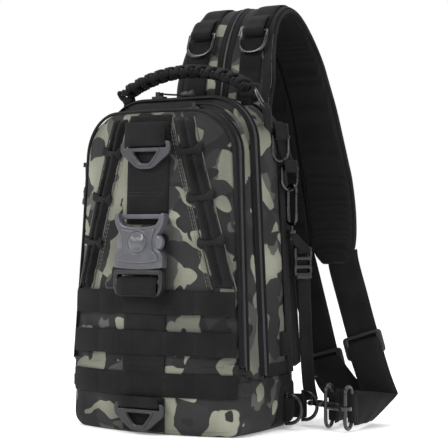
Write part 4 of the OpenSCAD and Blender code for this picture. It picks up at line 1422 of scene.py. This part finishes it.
def strap_face(lo, hi, n, last=len(STRAP)):
    """Rows of a strip on the strap's outer face, from lo to hi beside its seam, up to a station."""
    stations = STRAP[:last]
    left = [(r[1] + lo, r[3], r[4]) for r in stations]
    right = [(r[1] + hi, r[3], r[4]) for r in stations]
    return [r for r in strap_rows(left, right, n) if r[0].z > 352 or r[0].y > 80]


flip = -1.0 if strap_face(-9, 9, 20)[0][2].y > 0 else 1.0


def face_ribbon(lo, hi, height, thick, last=len(STRAP), dome=0.0, wave=None):
    """Strip of webbing or tape, height above the middle of the strap."""
    rows = [(a + n * (flip * height), b + n * (flip * height), n * flip)
            for a, b, n in strap_face(lo, hi, 120, last)]
    return ribbon(rows, thick, dome=dome, cols=7, wave=wave)


tapes = [face_ribbon(lo, hi, 4.8, 1.0, dome=0.9) for lo, hi in ((-10, -1.4), (1.4, 10))]
place(merge("strap_zip_tape", tapes, TAPE), "bag", "strap_webbing")
coil_path = [tuple(a + n * (flip * 6.0)) for a, b, n in strap_face(-0.01, 0.01, 520)]
coil_radii = [1.1 if k % 2 else 1.9 for k in range(len(coil_path))]
place(make("strap_zip_coil", *tube_along(coil_path, coil_radii, 8), COIL), "bag")


def web_wave(i, u):
    f = (i % 17) / 17.0
    return 1.3 * math.sin(math.pi * f) ** 0.8


for s in (-1, 1):
    part = face_ribbon(s * 34 - 13.5, s * 34 + 13.5, 5.6, 1.4, last=10, wave=web_wave)
    place(make("strap_web_left" if s < 0 else "strap_web_right", *part, WEB_P), "bag")

for body_, s in (("strap_ring_left", -1), ("strap_ring_right", 1)):
    c = Vector((15 + s * 34, 69.6, 431.6))
    tilt = Matrix.Rotation(math.radians(-21), 4, "X")
    bar = [(-16, 0, 0)] + [(x, 0, 0) for x in np.linspace(-14, 14, 9)] + [(16, 0, 0)]
    bow = []
    for a in np.linspace(0, -math.pi, 33):
        x = 16 * math.copysign(abs(math.cos(a)) ** 0.9, math.cos(a))
        bow.append((x, 0, -11 - 15.4 * abs(math.sin(a)) ** 0.72))
    ring = make(body_ + "_wire", *tube_along(bar + bow, 2.0, 12, closed=True), GUNMETAL)
    ring.data.transform(Matrix.Translation(c * MM) @ tilt)
    place(ring, body_, body_)
    path = [(2.7 * math.cos(a), 2.7 * math.sin(a))
            for a in np.linspace(math.radians(60), math.radians(-240), 18)]
    rows = []
    for y, z in ((11.5, 21.5), (7.5, 20.0), (3.6, 17.2), (0.4, 13.4), (-1.6, 9.0), (-2.6, 4.6)):
        rows.append(((-13, y, z), (13, y, z), (0, -1, 0.1 * z)))
    rows += [((-13, -y, z), (13, -y, z), (0, -y, z)) for y, z in path[2:-2]]
    loop_obj = make(body_ + "_loop", *ribbon(rows, 1.3, cols=7), WEB_P)
    loop_obj.data.transform(Matrix.Translation(c * MM) @ tilt)
    place(loop_obj, "bag", "strap_ring_loops" if s < 0 else None)

# lower webbing of the sling: left and right edge at stations down from the pad, then back to the base
WEBS = {
    "right": ([[(111, 125, 179), (147, 125, 190)], [(115, 123.2, 162), (151, 123.2, 173.2)],
               [(127, 121.5, 124), (163, 121.5, 135)], [(139.7, 120, 85.4), (175.5, 120, 96.7)],
               [(155, 119, 40), (189, 119, 58)], [(168.5, 118.5, 3.5), (199, 118.5, 34)]],
              [[(168.5, 117.2, 3.2), (199, 117.2, 34)], [(172, 88, 3.8), (189, 90, 38)],
               [(176, 57, 5), (176, 57, 42)]]),
    "left": ([[(54, 131, 179), (90, 131, 189)], [(58.9, 129.7, 162.5), (95.1, 129.7, 172.9)],
              [(73, 128.4, 114), (109, 128.4, 124)], [(94.9, 126.4, 41.5), (131.1, 126.4, 51.9)],
              [(118, 127.2, 17), (148, 127.2, 41)], [(134, 128, 3.5), (158, 128, 33)]],
             [[(134, 126.6, 3.2), (158, 126.6, 33)], [(141, 95, 4), (154, 96, 38)],
              [(150, 64, 5), (150, 64, 42)]])}


def sling_wave(i, u):
    return 0.7 * wrinkle((u * 6, i, 0), 9, 1.0)


for side, (down, back) in WEBS.items():
    parts = []
    for rows in (down, back):
        smoothed = strap_rows([r[0] for r in rows], [r[1] for r in rows], 40)
        parts.append(ribbon(smoothed, 1.7, cols=7, wave=sling_wave))
    web = merge("sling_web_" + side + "_cloth", parts, WEB_P)
    place(web, "bag", "sling_web_" + side)


# adjusters of the sling: rounded frame, with the returning layer of webbing lying over it
def return_wave(i, u):
    return 0.5 * wrinkle((u * 6, i, 0), 8, 3)


ADJUSTERS = (       # side, middle, turns about Y and X in degrees, and the lower end of the returning layer
    ("right", (159.7, 119.75, 84.8), -17.5, -2.1, ((168.0, 116.6, 3.4), (199.4, 116.6, 34.2))),
    ("left", (108.5, 126.8, 62.2), -16.1, -1.5, ((133.6, 125.9, 3.4), (158.4, 125.9, 33.2))))

for side, at, lean_y, lean_x, down_to in ADJUSTERS:
    matrix = (mm_at(*at) @ Matrix.Rotation(math.radians(lean_y), 4, "Y")
              @ Matrix.Rotation(math.radians(lean_x), 4, "X"))
    frame_out = rounded([(-24, -13), (24, -13), (24, 13), (-24, 13)], 5.0)
    slot_hi = rounded([(-17.5, 2.2), (17.5, 2.2), (17.5, 9.2), (-17.5, 9.2)], 1.5)
    slot_lo = rounded([(-17.5, -2.2), (17.5, -2.2), (17.5, -9.2), (-17.5, -9.2)], 1.5)
    glide = plate("adjuster_" + side, [frame_out, slot_hi, slot_lo], 0.6, 5.0, 1.9, PLASTIC)
    glide.data.transform(matrix @ UP_FRONT)
    place(glide, "slider_bar_" + side, "slider_bar_" + side)
    rows = []
    lo_l, lo_r = Vector(down_to[0]), Vector(down_to[1])
    for f in np.linspace(0, 1, 30):
        out_by = 2.0 + 4.2 * math.sin(min(f * 6, 1) * math.pi / 2)
        hi_l = matrix @ Vector((-19.5 * MM, -out_by * MM, 6 * MM)) / MM
        hi_r = matrix @ Vector((19.5 * MM, -out_by * MM, 6 * MM)) / MM
        rows.append((tuple(hi_l.lerp(lo_l, f)), tuple(hi_r.lerp(lo_r, f)), (0, -1, 0)))
    place(make("sling_return_" + side, *ribbon(rows, 1.6, cols=7, wave=return_wave), WEB_P), "bag")


# ---------- carry handle ----------

HALF = 74.0             # half the handle's span
RISE = 18.0             # how far its middle rises above its ends
ARC_R = (HALF * HALF + RISE * RISE) / (2 * RISE)
BAR_X = 76              # middle of the bars that the handle hangs on
BAR_Y = 6
BAR_Z = 355
WEAVE_X = 82            # half the length that is woven


def handle_point(x, across, up):
    """Point in the handle's arc: x along it, across its width, up from its middle."""
    a = x / ARC_R
    r = ARC_R + up
    return (r * math.sin(a), BAR_Y + across, BAR_Z + 10 + RISE - ARC_R + r * math.cos(a))


def half_turn(n):
    """Angles of a strand that crosses the handle and dips a little past its edges."""
    return [math.pi * (1.18 - 1.36 * t) for t in np.linspace(0, 1, n)]


cords = []
pitch = 6.6
for k in range(int(2 * WEAVE_X / pitch)):
    x0 = -WEAVE_X + k * pitch
    s = 1 if k % 2 else -1
    path = []
    for t, a in zip(np.linspace(0, 1, 15), half_turn(15)):
        across = 10.4 * math.cos(a)
        up = 4.6 * math.sin(a) + (1.0 if 0.3 < t < 0.7 else 0)
        path.append(handle_point(x0 + pitch * 1.7 * t, s * across, up - 0.6))
    cords.append(tube_along(path, 2.5, 8))
    path = []
    for t, a in zip(np.linspace(0, 1, 11), half_turn(11)):
        across, up = -s * 10.0 * math.cos(a), -4.4 * math.sin(a) - 0.8
        path.append(handle_point(x0 + pitch * (0.3 + 1.2 * t), across, up))
    cords.append(tube_along(path, 2.3, 8))
for across in (-3.4, 3.4):
    path = [handle_point(x, across, 0) for x in np.linspace(-84, 84, 41)]
    cords.append(tube_along(path, 3.0, 8))
for s in (-1, 1):
    for across in (-3.2, 3.2):
        end = handle_point(s * WEAVE_X, across, 0)
        path = smooth([end, (s * 87, BAR_Y + across * 1.3, 364), (s * 83.5, BAR_Y + across, 357),
                       (s * (BAR_X + 3), BAR_Y + across * 0.4, 354.6), (s * BAR_X, BAR_Y, 354.8)], 22)
        cords.append(tube_along([tuple(p) for p in path], 2.0, 8))
    cords.append(tube_along([(s * 69, BAR_Y, BAR_Z), (s * 84, BAR_Y, BAR_Z)], 1.9, 10))
weave = merge("handle_weave", cords, CORD)
place(weave, "carry_handle", "carry_handle")
for s in (-1, 1):
    x0, x1 = s * BAR_X - 6, s * BAR_X + 6
    rows = [((x0, 3.5, 343), (x1, 3.5, 343), (0, -1, 0))]
    for a in np.linspace(math.radians(250), math.radians(-70), 20):
        y, z = BAR_Y + 3.1 * math.cos(a), BAR_Z + 3.1 * math.sin(a)
        rows.append(((x0, y, z), (x1, y, z), (0, math.cos(a), math.sin(a))))
    rows.append(((x0, 8.5, 343), (x1, 8.5, 343), (0, 1, 0)))
    tab = make("handle_tab_left" if s < 0 else "handle_tab_right", *ribbon(rows, 1.3, cols=7), WEB_P)
    place(tab, "bag", "handle_loops" if s < 0 else None)


# ---------- pads on the back ----------

for s in (-1, 1):
    n, c = 60, 31
    verts = []
    for i in range(n):
        z = 44 + 256 * i / (n - 1)
        for j in range(c):
            x = s * (6 + 80 * j / (c - 1))
            edge = min(j, c - 1 - j) / (c - 1) * 76
            ends = min(i, n - 1 - i) / (n - 1) * 256
            rise = min(1.0, edge / 10) * min(1.0, ends / 12)
            channel_ = 0.55 + 0.45 * abs(math.sin(math.pi * (z - 44) / 64.0)) ** 0.35
            h = 8.6 * math.sqrt(rise * (2 - rise)) * channel_ + 0.5 * wrinkle((x, 0, z), 20, 2)
            verts.append((x, BACK_Y - 0.3 + max(h, 0), z))
    pad = make("back_pad_left" if s < 0 else "back_pad_right", verts, grid_faces(n, c), MESH)
    face_out(pad, lambda p: (0, 1, 0))
    place(pad, "bag", "back_pads" if s < 0 else None)

for s in (-1, 1):
    roll = []
    thick_at = []
    for f in np.linspace(0, 1, 60):
        z = 63 + 240 * f
        x = s * (half_width(MAIN, z) - 9.5 - 5 * f ** 4)
        roll.append((x, BACK_Y + 4.5 + 1.2 * math.sin(5 * f + 1), z))
        thick_at.append(12.0 * min(1.0, 40 * f + 0.55, 7 * (1 - f) + 0.25) * (1 - 0.25 * f))
    roll_obj = make("back_roll_left" if s < 0 else "back_roll_right", *tube_along(roll, thick_at, 18), CLOTH)
    place(roll_obj, "bag")

# sleeve for papers inside the back
verts = []
for i in range(30):
    z = 10 + 200 * i / 29
    for j in range(41):
        x = -78 + 156 * j / 40
        edge = min(j, 40 - j) / 40
        verts.append((x, 38.5 + 12 * (1 - min(1.0, edge / 0.06)) + 1.2 * wrinkle((x, 0, z), 40, 6), z))
sleeve_cloth = make("sleeve_cloth", verts, grid_faces(30, 41), LINING)
solidify(sleeve_cloth, 1.2)
place(sleeve_cloth, "bag", "inner_sleeve")


# ---------- hardware kept from the CAD, with its finishes ----------

def dress(mat, *names):
    for n in names:
        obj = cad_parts[n]
        obj.data.materials.clear()
        obj.data.materials.append(mat)


dress(SATIN_BLACK, "pocket_slider_top", "main_slider_top", "pocket_slider_side", "main_slider_side")
dress(SATIN_BLACK, "oval_ring_left", "oval_ring_right", "base_ring_front", "base_ring_rear", "base_ring_left")
dress(GUNMETAL, "side_ring_upper", "side_ring_lower", "side_clip", "side_clip_gate")
dress(SILVER, "snap_hook_gate")
dress(SATIN_BLACK, "snap_eye")

# snap hook: swollen body and round hook
HOOK = mm_at(176, 36, 25) @ Matrix.Rotation(math.radians(149.5), 4, "Z")     # X runs from the eye to the hook
HOOK_MIDDLE = 55
HOOK_R = 7.6
stem_x = [6.6, 9.5, 11.5, 15, 21, 28, 34, 39, 42.5]
stem_r = [1.3, 1.5, 2.8, 3.9, 4.4, 4.4, 3.9, 3.2, 2.6]
stem = tube_along([(x, 0, 0) for x in stem_x], stem_r, 16, flat=0.82)
hook_path = [(41, -3.0, 0), (44, -6.2, 0)] + [(HOOK_MIDDLE + HOOK_R * math.cos(q), HOOK_R * math.sin(q), 0)
                                              for q in np.linspace(math.radians(-150), math.radians(125), 24)]
hook_radii = [2.6] * (len(hook_path) - 4) + [2.4, 2.2, 1.8, 1.2]
heel = tube_along([(40, 2.0, 0), (42.5, 5.0, 0), (44.5, 6.4, 0)], [2.6, 2.2, 1.5], 10)
hook_obj = merge("snap_hook_body", [stem, tube_along(hook_path, hook_radii, 12), heel], SATIN_BLACK)
hook_obj.data.transform(HOOK)
place(hook_obj, "snap_hook", "snap_hook")


def side_x(z):
    return half_width(MAIN, z)


def pillow(name, x_base, depth, y0, y1, z0, z1, mat, body):
    """Small puffed patch sewn on the right-hand side."""
    n, verts = 17, []
    for i in range(n):
        for j in range(n):
            u, v = i / (n - 1), j / (n - 1)
            e = min(u, 1 - u, 0.5) * 2, min(v, 1 - v, 0.5) * 2
            h = depth * min(1, 3 * e[0]) ** 0.5 * min(1, 3 * e[1]) ** 0.5
            z = z0 + (z1 - z0) * v
            x = side_x(z) + x_base + h
            verts.append((x, y0 + (y1 - y0) * u, z))
    obj = make(name, verts, grid_faces(n, n), mat)
    face_out(obj, lambda p: (1, 0, 0))
    place(obj, body)


# keeper pad low on the side
pillow("side_keeper", -0.5, 6.5, 24, 46, 76, 104, WEB_P, "bag")


def side_strip(name, y0, y1, z_low, out, mat):
    """Black strip wrapped round both sides and the top of the rear shell between two depths."""
    curve, _ = upper_curve(MAIN, z_low, side_steps=60, arc_steps=20, flat_steps=20)
    normals = curve_normals(curve)
    verts = []
    ys = np.linspace(y0, y1, 7)
    for (x, z), (nx, nz) in zip(curve, normals):
        for y in ys:
            puff = rear_puff(rear_part(y))(0.5) if y < REAR_EDGE_Y else 0.3
            turn = REAR_RADIUS - math.sqrt(max(REAR_RADIUS ** 2 - max(y - REAR_EDGE_Y, 0) ** 2, 0))
            h = out + puff + 1.2 - turn
            verts.append((x + nx * h, y, z + nz * h))
    obj = make(name, verts, grid_faces(len(curve), len(ys)), mat)
    face_out(obj, lambda p: (p[0], 0, p[2] - 150))
    solidify(obj, 1.0)
    place(obj, "bag")


side_strip("rear_edge_strip", 36, 57, 59, 0.2, WEB_P)

# black strip over the lower seam of the rear shell, on both sides
for s in (-1, 1):
    verts = []
    ys = np.linspace(-5.5, 50, 24)
    for z in np.linspace(59, 71, 5):
        for y in ys:
            verts.append((s * (half_width(MAIN, z) + rear_puff(rear_part(y))(0.05) + 1.3), y, z))
    strip_ = make("seam_strip_left" if s < 0 else "seam_strip_right", verts, grid_faces(5, 24), WEB_P)
    face_out(strip_, lambda p: (p[0], 0, 0))
    solidify(strip_, 1.0)
    place(strip_, "bag")

# link and tab at the right-hand end of the handle
link_at = [(86, 4, 362), (91, 2.5, 350), (95.5, 7, 340), (93, 15, 341.5), (88, 10, 354)]
link_path = [tuple(p) for p in smooth(link_at + link_at[:1], 40)][:-1]
place(make("handle_link", *tube_along(link_path, 1.1, 8, closed=True), SILVER), "carry_handle")
rows = [((91, 4, 346), (96, 17, 343), (0.5, -0.2, 0.8)), ((95, 3.5, 338), (98.5, 17, 336), (0.9, -0.1, 0.35)),
        ((96.5, 4, 326), (99, 17, 325), (1, 0, 0.1)), ((98, 4, 318), (99.8, 17, 318), (1, 0, 0))]


def smooth_rows(rows, n):
    """Rows of (left edge, right edge, outward) smoothed into n rows."""
    flat = smooth([[*p, *q, *n_] for p, q, n_ in rows], n)
    return [(Vector(r[:3]), Vector(r[3:6]), Vector(r[6:]).normalized()) for r in flat]


place(make("handle_side_tab", *ribbon(smooth_rows(rows, 16), 1.4, cols=7), WEB_P), "bag")


def sash(name, rows, thick, cad_node=None):
    """Webbing of the bag through rows of (left edge, right edge, outward), smoothed between them."""
    rows = [(p, q, Vector(n_).normalized()) for p, q, n_ in rows]
    obj = make(name, *ribbon(smooth_rows(rows, 4 * len(rows)), thick, cols=9), WEB_P)
    place(obj, "bag", cad_node)


SIDE_TURN = math.radians(70)


def turned(at, x, y, z):
    """Point given in the frame of the side hardware, whose bars are turned from X."""
    c, s_ = math.cos(SIDE_TURN), math.sin(SIDE_TURN)
    return (at[0] + x * c - y * s_, at[1] + x * s_ + y * c, at[2] + z)


SIDE_OUT = (math.sin(SIDE_TURN), -math.cos(SIDE_TURN), 0)
RING_1, RING_2, LOCK = (99.5, 36, 311), (104, 48, 277), (112, 63, 190)


def bar_wrap(at, r, tail, w, first):
    """Rows for webbing that comes down in front of a bar, round it and back up behind."""
    rows = [(turned(at, -w, *first), turned(at, w, *first), SIDE_OUT)]
    for q in np.linspace(math.radians(180), math.radians(360), 9):
        y, z = r * math.cos(q), r * math.sin(q)
        n_ = turned((0, 0, 0), 0, math.cos(q), math.sin(q))
        rows.append((turned(at, -w, y, z), turned(at, w, y, z), n_))
    rows.append((turned(at, -w, 1.0, tail), turned(at, w, 1.0, tail), tuple(-v for v in SIDE_OUT)))
    return rows


sash("side_tab_upper", bar_wrap(RING_1, 3.0, 12, 9.3, (-1.0, 14)), 1.3, "side_webbing")
sash("side_tab_lower", bar_wrap(RING_2, 3.0, 5, 9.3, (-1.2, 9)), 1.3)
root = [((95.5, 27, 327), (96.3, 45, 327), (1, -0.1, 0)),
        ((96.6, 27.2, 321), (97.6, 45.2, 321), (1, -0.2, 0)),
        ((98.2, 27.4, 315), (100.4, 45, 315), SIDE_OUT)]
sash("side_tab_root", root, 1.4)
bridge = [((95.6, 30.5, 322), (97.2, 47, 322), SIDE_OUT), ((96.8, 32, 306), (101.6, 49, 304), SIDE_OUT),
          ((98.6, 37, 291), (103.8, 53, 290), SIDE_OUT), ((101.2, 39.6, 281), (107.0, 56, 281), SIDE_OUT)]
sash("side_tab_bridge", bridge, 1.3)

# swivel collar of the clip and the webbing under it
CLIP = (105.2, 51.3, 238)
CLIP_EYE = (CLIP[0], CLIP[1], 206)
collar_profile = [(-27.2, 3.0), (-27.6, 4.6), (-31.6, 4.6), (-32.0, 3.6), (-33.2, 3.6), (-33.6, 4.6),
                  (-38.4, 4.6), (-38.8, 3.4)]      # (height from the clip's middle, radius)
collar_axis = [(CLIP[0], CLIP[1], CLIP[2] + z) for z, r in collar_profile]
collar_radii = [r for z, r in collar_profile]
collar = make("clip_collar_look", *tube_along(collar_axis, collar_radii, 20), SATIN_BLACK)
place(collar, "bag", "clip_collar")
rows = [(turned(CLIP_EYE, -4.0, -4.2, 0), turned(CLIP_EYE, 4.0, -4.2, 0), SIDE_OUT),
        (turned((105.9, 52.4, 202), -6.5, -4.6, 0), turned((105.9, 52.4, 202), 6.5, -4.6, 0), SIDE_OUT),
        (turned((108.6, 57.0, 196), -9.0, -3.6, 0), turned((108.6, 57.0, 196), 9.0, -3.6, 0), SIDE_OUT)]
sash("clip_webbing", rows + bar_wrap(LOCK, 2.9, 5, 9.2, (-2.2, 3.0))[1:], 1.4)

LOCK_M = mm_at(*LOCK) @ Matrix.Rotation(SIDE_TURN, 4, "Z") @ UP_FRONT
lock_edge = rounded([(-12.6, 2.6), (12.6, 2.6), (13.4, -6), (11.6, -14), (13.4, -22), (11.0, -30.5),
                     (-11.0, -30.5), (-13.4, -22), (-11.6, -14), (-13.4, -6)], 2.6)
windows = [rounded([(-9.4, y0), (9.4, y0), (9.4, y1), (-9.4, y1)], 1.3)
           for y0, y1 in ((-2.2, -7.8), (-12.2, -17.0), (-21.2, -25.4))]
lock_plate = plate("lock_plate", [lock_edge] + windows, -2.4, 2.4, 1.5, PLASTIC)
lip_path = [(x, -28.4 - 1.6 * math.cos(x / 9), 1.6) for x in np.linspace(-10.4, 10.4, 15)]
lip = make("lock_lip", *tube_along(lip_path, 2.6, 10), PLASTIC)
bar_path = [(x, -10.0, 1.0) for x in np.linspace(-11.0, 11.0, 7)]
bridge_bar = make("lock_bar", *tube_along(bar_path, 2.3, 10), PLASTIC)
lock = join("ladder_lock_look", [lock_plate, lip, bridge_bar])
lock.data.transform(LOCK_M)
place(lock, "ladder_lock", "ladder_lock")

# narrow strap from the adjuster down to the base
strap_at = [(109.6, 62.5, 181), (110, 68, 172), (110.3, 68.6, 155), (111, 70, 120), (111, 72, 90),
            (112, 76.5, 45), (114, 80, 26)]
rows = [((x - 3.2, y - 8.6, z), (x + 3.2, y + 8.6, z), SIDE_OUT) for x, y, z in strap_at]
sash("side_strap_cloth", rows, 1.5, "side_strap")

# sewn eyes of the sling webbing round the far legs of the oval rings
for label, (ex, ey), y_run in (("right", (176, 52), 57), ("left", (150, 59.3), 64)):
    rows = [((ex, y_run + 5, 6), (ex, y_run + 5, 41), (-1, 0, 0))]
    for q in np.linspace(math.radians(120), math.radians(420), 16):
        n_ = (math.cos(q), math.sin(q), 0)
        rows.append(((ex + 3.0 * n_[0], ey + 3.0 * n_[1], 9), (ex + 3.0 * n_[0], ey + 3.0 * n_[1], 38.5), n_))
    rows.append(((ex + 1.0, y_run + 5, 6), (ex + 1.0, y_run + 5, 41), (1, 0, 0)))
    sash("sling_eye_" + label, rows, 1.4, "sling_eyes" if label == "right" else None)

# seam across the top corner of the rear shell
for s in (-1, 1):
    seam = []
    for y in np.linspace(-4, 49, 30):
        z = 318 + 0.28 * (y + 4)
        seam.append((s * (half_width(MAIN, z) + rear_puff(rear_part(y))(0.8) + 0.4), y, z))
    seam_obj = make("shoulder_seam_" + ("left" if s < 0 else "right"), *tube_along(seam, 0.9, 8), PIPING)
    place(seam_obj, "bag")


# zip pulls: doubled cord from the slider's bar to a moulded grip
def zip_pull(body, path, matrix, grip_from=0.5, width=1.15, flat=0.8):
    """Pull along a path in the slider's own frame, where Y is the direction between the two cords."""
    name = body + "_look"
    cut = int(len(path) * grip_from)
    side = Vector((0, 1, 0))
    cords = []
    for s in (-1, 1):
        cords.append(tube_along([tuple(Vector(p) + side * (s * 1.15)) for p in path[:cut + 2]], 0.95, 8))
    around = arc(path[0], side, (Vector(path[0]) - Vector(path[1])).normalized(), 1.15, 0, 180, 9)
    cords.append(tube_along(around, 0.95, 8))
    grip = path[cut:]
    radii = [width * r for r in np.interp(np.linspace(0, 1, len(grip)), [0, 0.08, 0.3, 0.55, 0.8, 0.95, 1],
                                          [1.8, 2.9, 3.4, 2.7, 3.9, 3.6, 2.0])]
    verts = []
    for k, (p, r) in enumerate(zip(grip, radii)):
        a_, b_ = grip[max(k - 1, 0)], grip[min(k + 1, len(grip) - 1)]
        along = (Vector(b_) - Vector(a_)).normalized()
        up_ = side.cross(along).normalized()
        ridge = 1.0 + 0.12 * math.sin(k * 2.1)
        for q in np.linspace(0, 2 * math.pi, 14, endpoint=False):
            verts.append(tuple(Vector(p) + side * (r * math.cos(q)) + up_ * (flat * r * ridge * math.sin(q))))
    cord_obj = merge(name + "_cord", cords, CORD)
    grip_obj = make(name + "_grip", verts, capped_faces(len(grip), 14), RUBBER)
    for obj in (cord_obj, grip_obj):
        obj.data.transform(matrix)
    place(cord_obj, body)
    place(grip_obj, body, body)


corner = [(8 + 55 * math.cos(q), 0, -46 + 55 * math.sin(q)) for q in np.radians(np.linspace(97, 24, 40))]
zip_pull("pocket_pull_top", corner, LEAN_M @ mm_at(38, ZIP_POCKET_Y, POCKET[2]), 0.52, 1.1, 0.55)
straight = [(x, 0, 9 - 2.5 * math.sin(math.pi * min(x, 30) / 60)) for x in np.linspace(1.5, 45, 30)]
zip_pull("main_pull_top", straight, mm_at(-26, ZIP_MAIN_Y, MAIN[2]), 0.6, 1.3, 0.9)


def on_side(y, z, o):
    """Frame of a slider on the left side of an outline, at a height."""
    tilt = math.atan2((o[0] - o[1]) / 2, o[2] - o[3] - o[4])
    return (mm_at(-half_width(o, z), y, z) @ Matrix.Rotation(tilt + math.pi / 2, 4, "Y")
            @ Matrix.Rotation(math.pi, 4, "X"))


hanging = [(x, 0, 9 - 2.0 * min(x / 20, 1)) for x in np.linspace(1.0, 44, 30)]
zip_pull("pocket_pull_side", hanging, LEAN_M @ on_side(ZIP_POCKET_Y, 282, POCKET))
zip_pull("main_pull_side", hanging, on_side(ZIP_MAIN_Y, 300, MAIN))

# webbing tabs of the rings at the base
for k, (s, y) in enumerate(((1, 30.0), (1, 66.0), (-1, 66.0))):
    turn = [(111 + 3.1 * math.cos(q), y + 3.1 * math.sin(q))
            for q in np.linspace(math.radians(-100), math.radians(100), 14)]
    if y < 60:
        plan_ = [(101.5, y - 6), (105, y - 5)] + turn + [(105, y + 5), (101.5, y + 6)]
    else:
        plan_ = [(96, 59.8), (104, 60.5)] + turn + [(103, y + 1.6), (94, 62.6)]
    rows = []
    for i_, (px, py) in enumerate(plan_):
        a_, b_ = plan_[max(i_ - 1, 0)], plan_[min(i_ + 1, len(plan_) - 1)]
        nrm = Vector((b_[1] - a_[1], -(b_[0] - a_[0]), 0)).normalized()
        rows.append(((s * px, py, 8.5), (s * px, py, 33.5), (s * nrm.x, nrm.y, 0)))
    tab_obj = make("base_tab_%d" % k, *ribbon(rows, 1.3, cols=7), WEB_P)
    place(tab_obj, "bag", "base_ring_tabs" if k == 0 else None)

# black corner piece that holds the base rings, and cloth tabs over the lower ends of the zips
tub_tree = skin_tree(tub)
for s in (-1, 1):
    side_name = "left" if s < 0 else "right"
    inward = (-s, 0, 0)
    corners = [(s * 103, 6, 5), (s * 103, 55, 4), (s * 103, 56, 50), (s * 103, 25, 46)]
    patch("base_corner_" + side_name, tub_tree, corners, inward, 0.4, 1.6, WEB_P, "bag")
    corners = [(s * 103, -60, 42), (s * 103, -35, 42), (s * 103, -34, 56), (s * 103, -61, 56)]
    patch("zip_end_tab_" + side_name, tub_tree, corners, inward, 1.2, 2.2, CAMO, "bag", 9)
    edge = [laid_on(tub_tree, (s * 103, y, 54), inward, 3.8) for y in np.linspace(-59, -36, 12)]
    hem = make("zip_end_hem_" + side_name, *stitches(edge, (s, 0, 0), 2.2, 0.9, 0.4), DARK_THREAD)
    place(hem, "bag")

# ---------- stage, light and camera ----------

scene = bpy.context.scene
floor_mat, _, fb = new_mat("pale_floor")
sockets(fb, Base_Color=(0.97, 0.97, 0.97, 1), Roughness=0.6, Specular_IOR_Level=0.0,
        Emission_Color=(1, 1, 1, 1), Emission_Strength=0.22)
FLOOR_HALF, FLOOR_Z = 3000, -0.3
floor_corners = [(x * FLOOR_HALF, y * FLOOR_HALF, FLOOR_Z) for x, y in ((-1, -1), (1, -1), (1, 1), (-1, 1))]
floor = make("floor", floor_corners, [[0, 1, 2, 3]], floor_mat)
floor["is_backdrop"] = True
world = bpy.data.worlds.new("studio")
scene.world = world
world.use_nodes = True
background = world.node_tree.nodes["Background"]
wt = world.node_tree
sky = wt.nodes.new("ShaderNodeTexCoord")
split = wt.nodes.new("ShaderNodeSeparateXYZ")
wt.links.new(sky.outputs["Generated"], split.inputs[0])
side_light = math_node(wt, "ADD", math_node(wt, "MULTIPLY", split.outputs["Y"], 0.9),
                       math_node(wt, "MULTIPLY", split.outputs["X"], -0.5))
level = ramp(wt, math_node(wt, "ADD", side_light, 0.5), [(0.0, (0.5, 0.5, 0.5)), (0.62, (1.0, 1.0, 1.0))])
wt.links.new(level, background.inputs[0])
background.inputs[1].default_value = 1.0


def area(name, at, target, size, power):
    light = bpy.data.lights.new(name, "AREA")
    light.shape = "RECTANGLE"
    light.size, light.size_y = size
    light.energy = power
    obj = bpy.data.objects.new(name, light)
    obj.location = at
    obj.rotation_euler = (Vector(target) - Vector(at)).to_track_quat("-Z", "Y").to_euler()
    scene.collection.objects.link(obj)


area("key", (-0.55, -1.5, 1.25), (0, 0, 0.2), (0.9, 0.7), 22)
area("fill", (1.5, -0.7, 0.7), (0, 0, 0.2), (0.7, 0.9), 7)
area("top", (0.1, 0.1, 1.6), (0, 0, 0.2), (1.0, 0.8), 12)

CAMERA_AT = (0.8127, -1.2676, 0.2081)      # metres, solved from the straight edges of the bag
CAMERA_TURN = math.radians(31.0)
CAMERA_TILT = math.radians(0.35)
cam_data = bpy.data.cameras.new("camera")
cam = bpy.data.objects.new("camera", cam_data)
scene.collection.objects.link(cam)
scene.camera = cam
cam_data.lens = 111.7
cam_data.sensor_width = 36
cam.location = CAMERA_AT
forward = Vector((-math.sin(CAMERA_TURN) * math.cos(CAMERA_TILT),
                  math.cos(CAMERA_TURN) * math.cos(CAMERA_TILT), math.sin(CAMERA_TILT)))
cam.rotation_euler = forward.to_track_quat("-Z", "Y").to_euler()
scene.view_settings.view_transform = "Standard"

low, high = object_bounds()
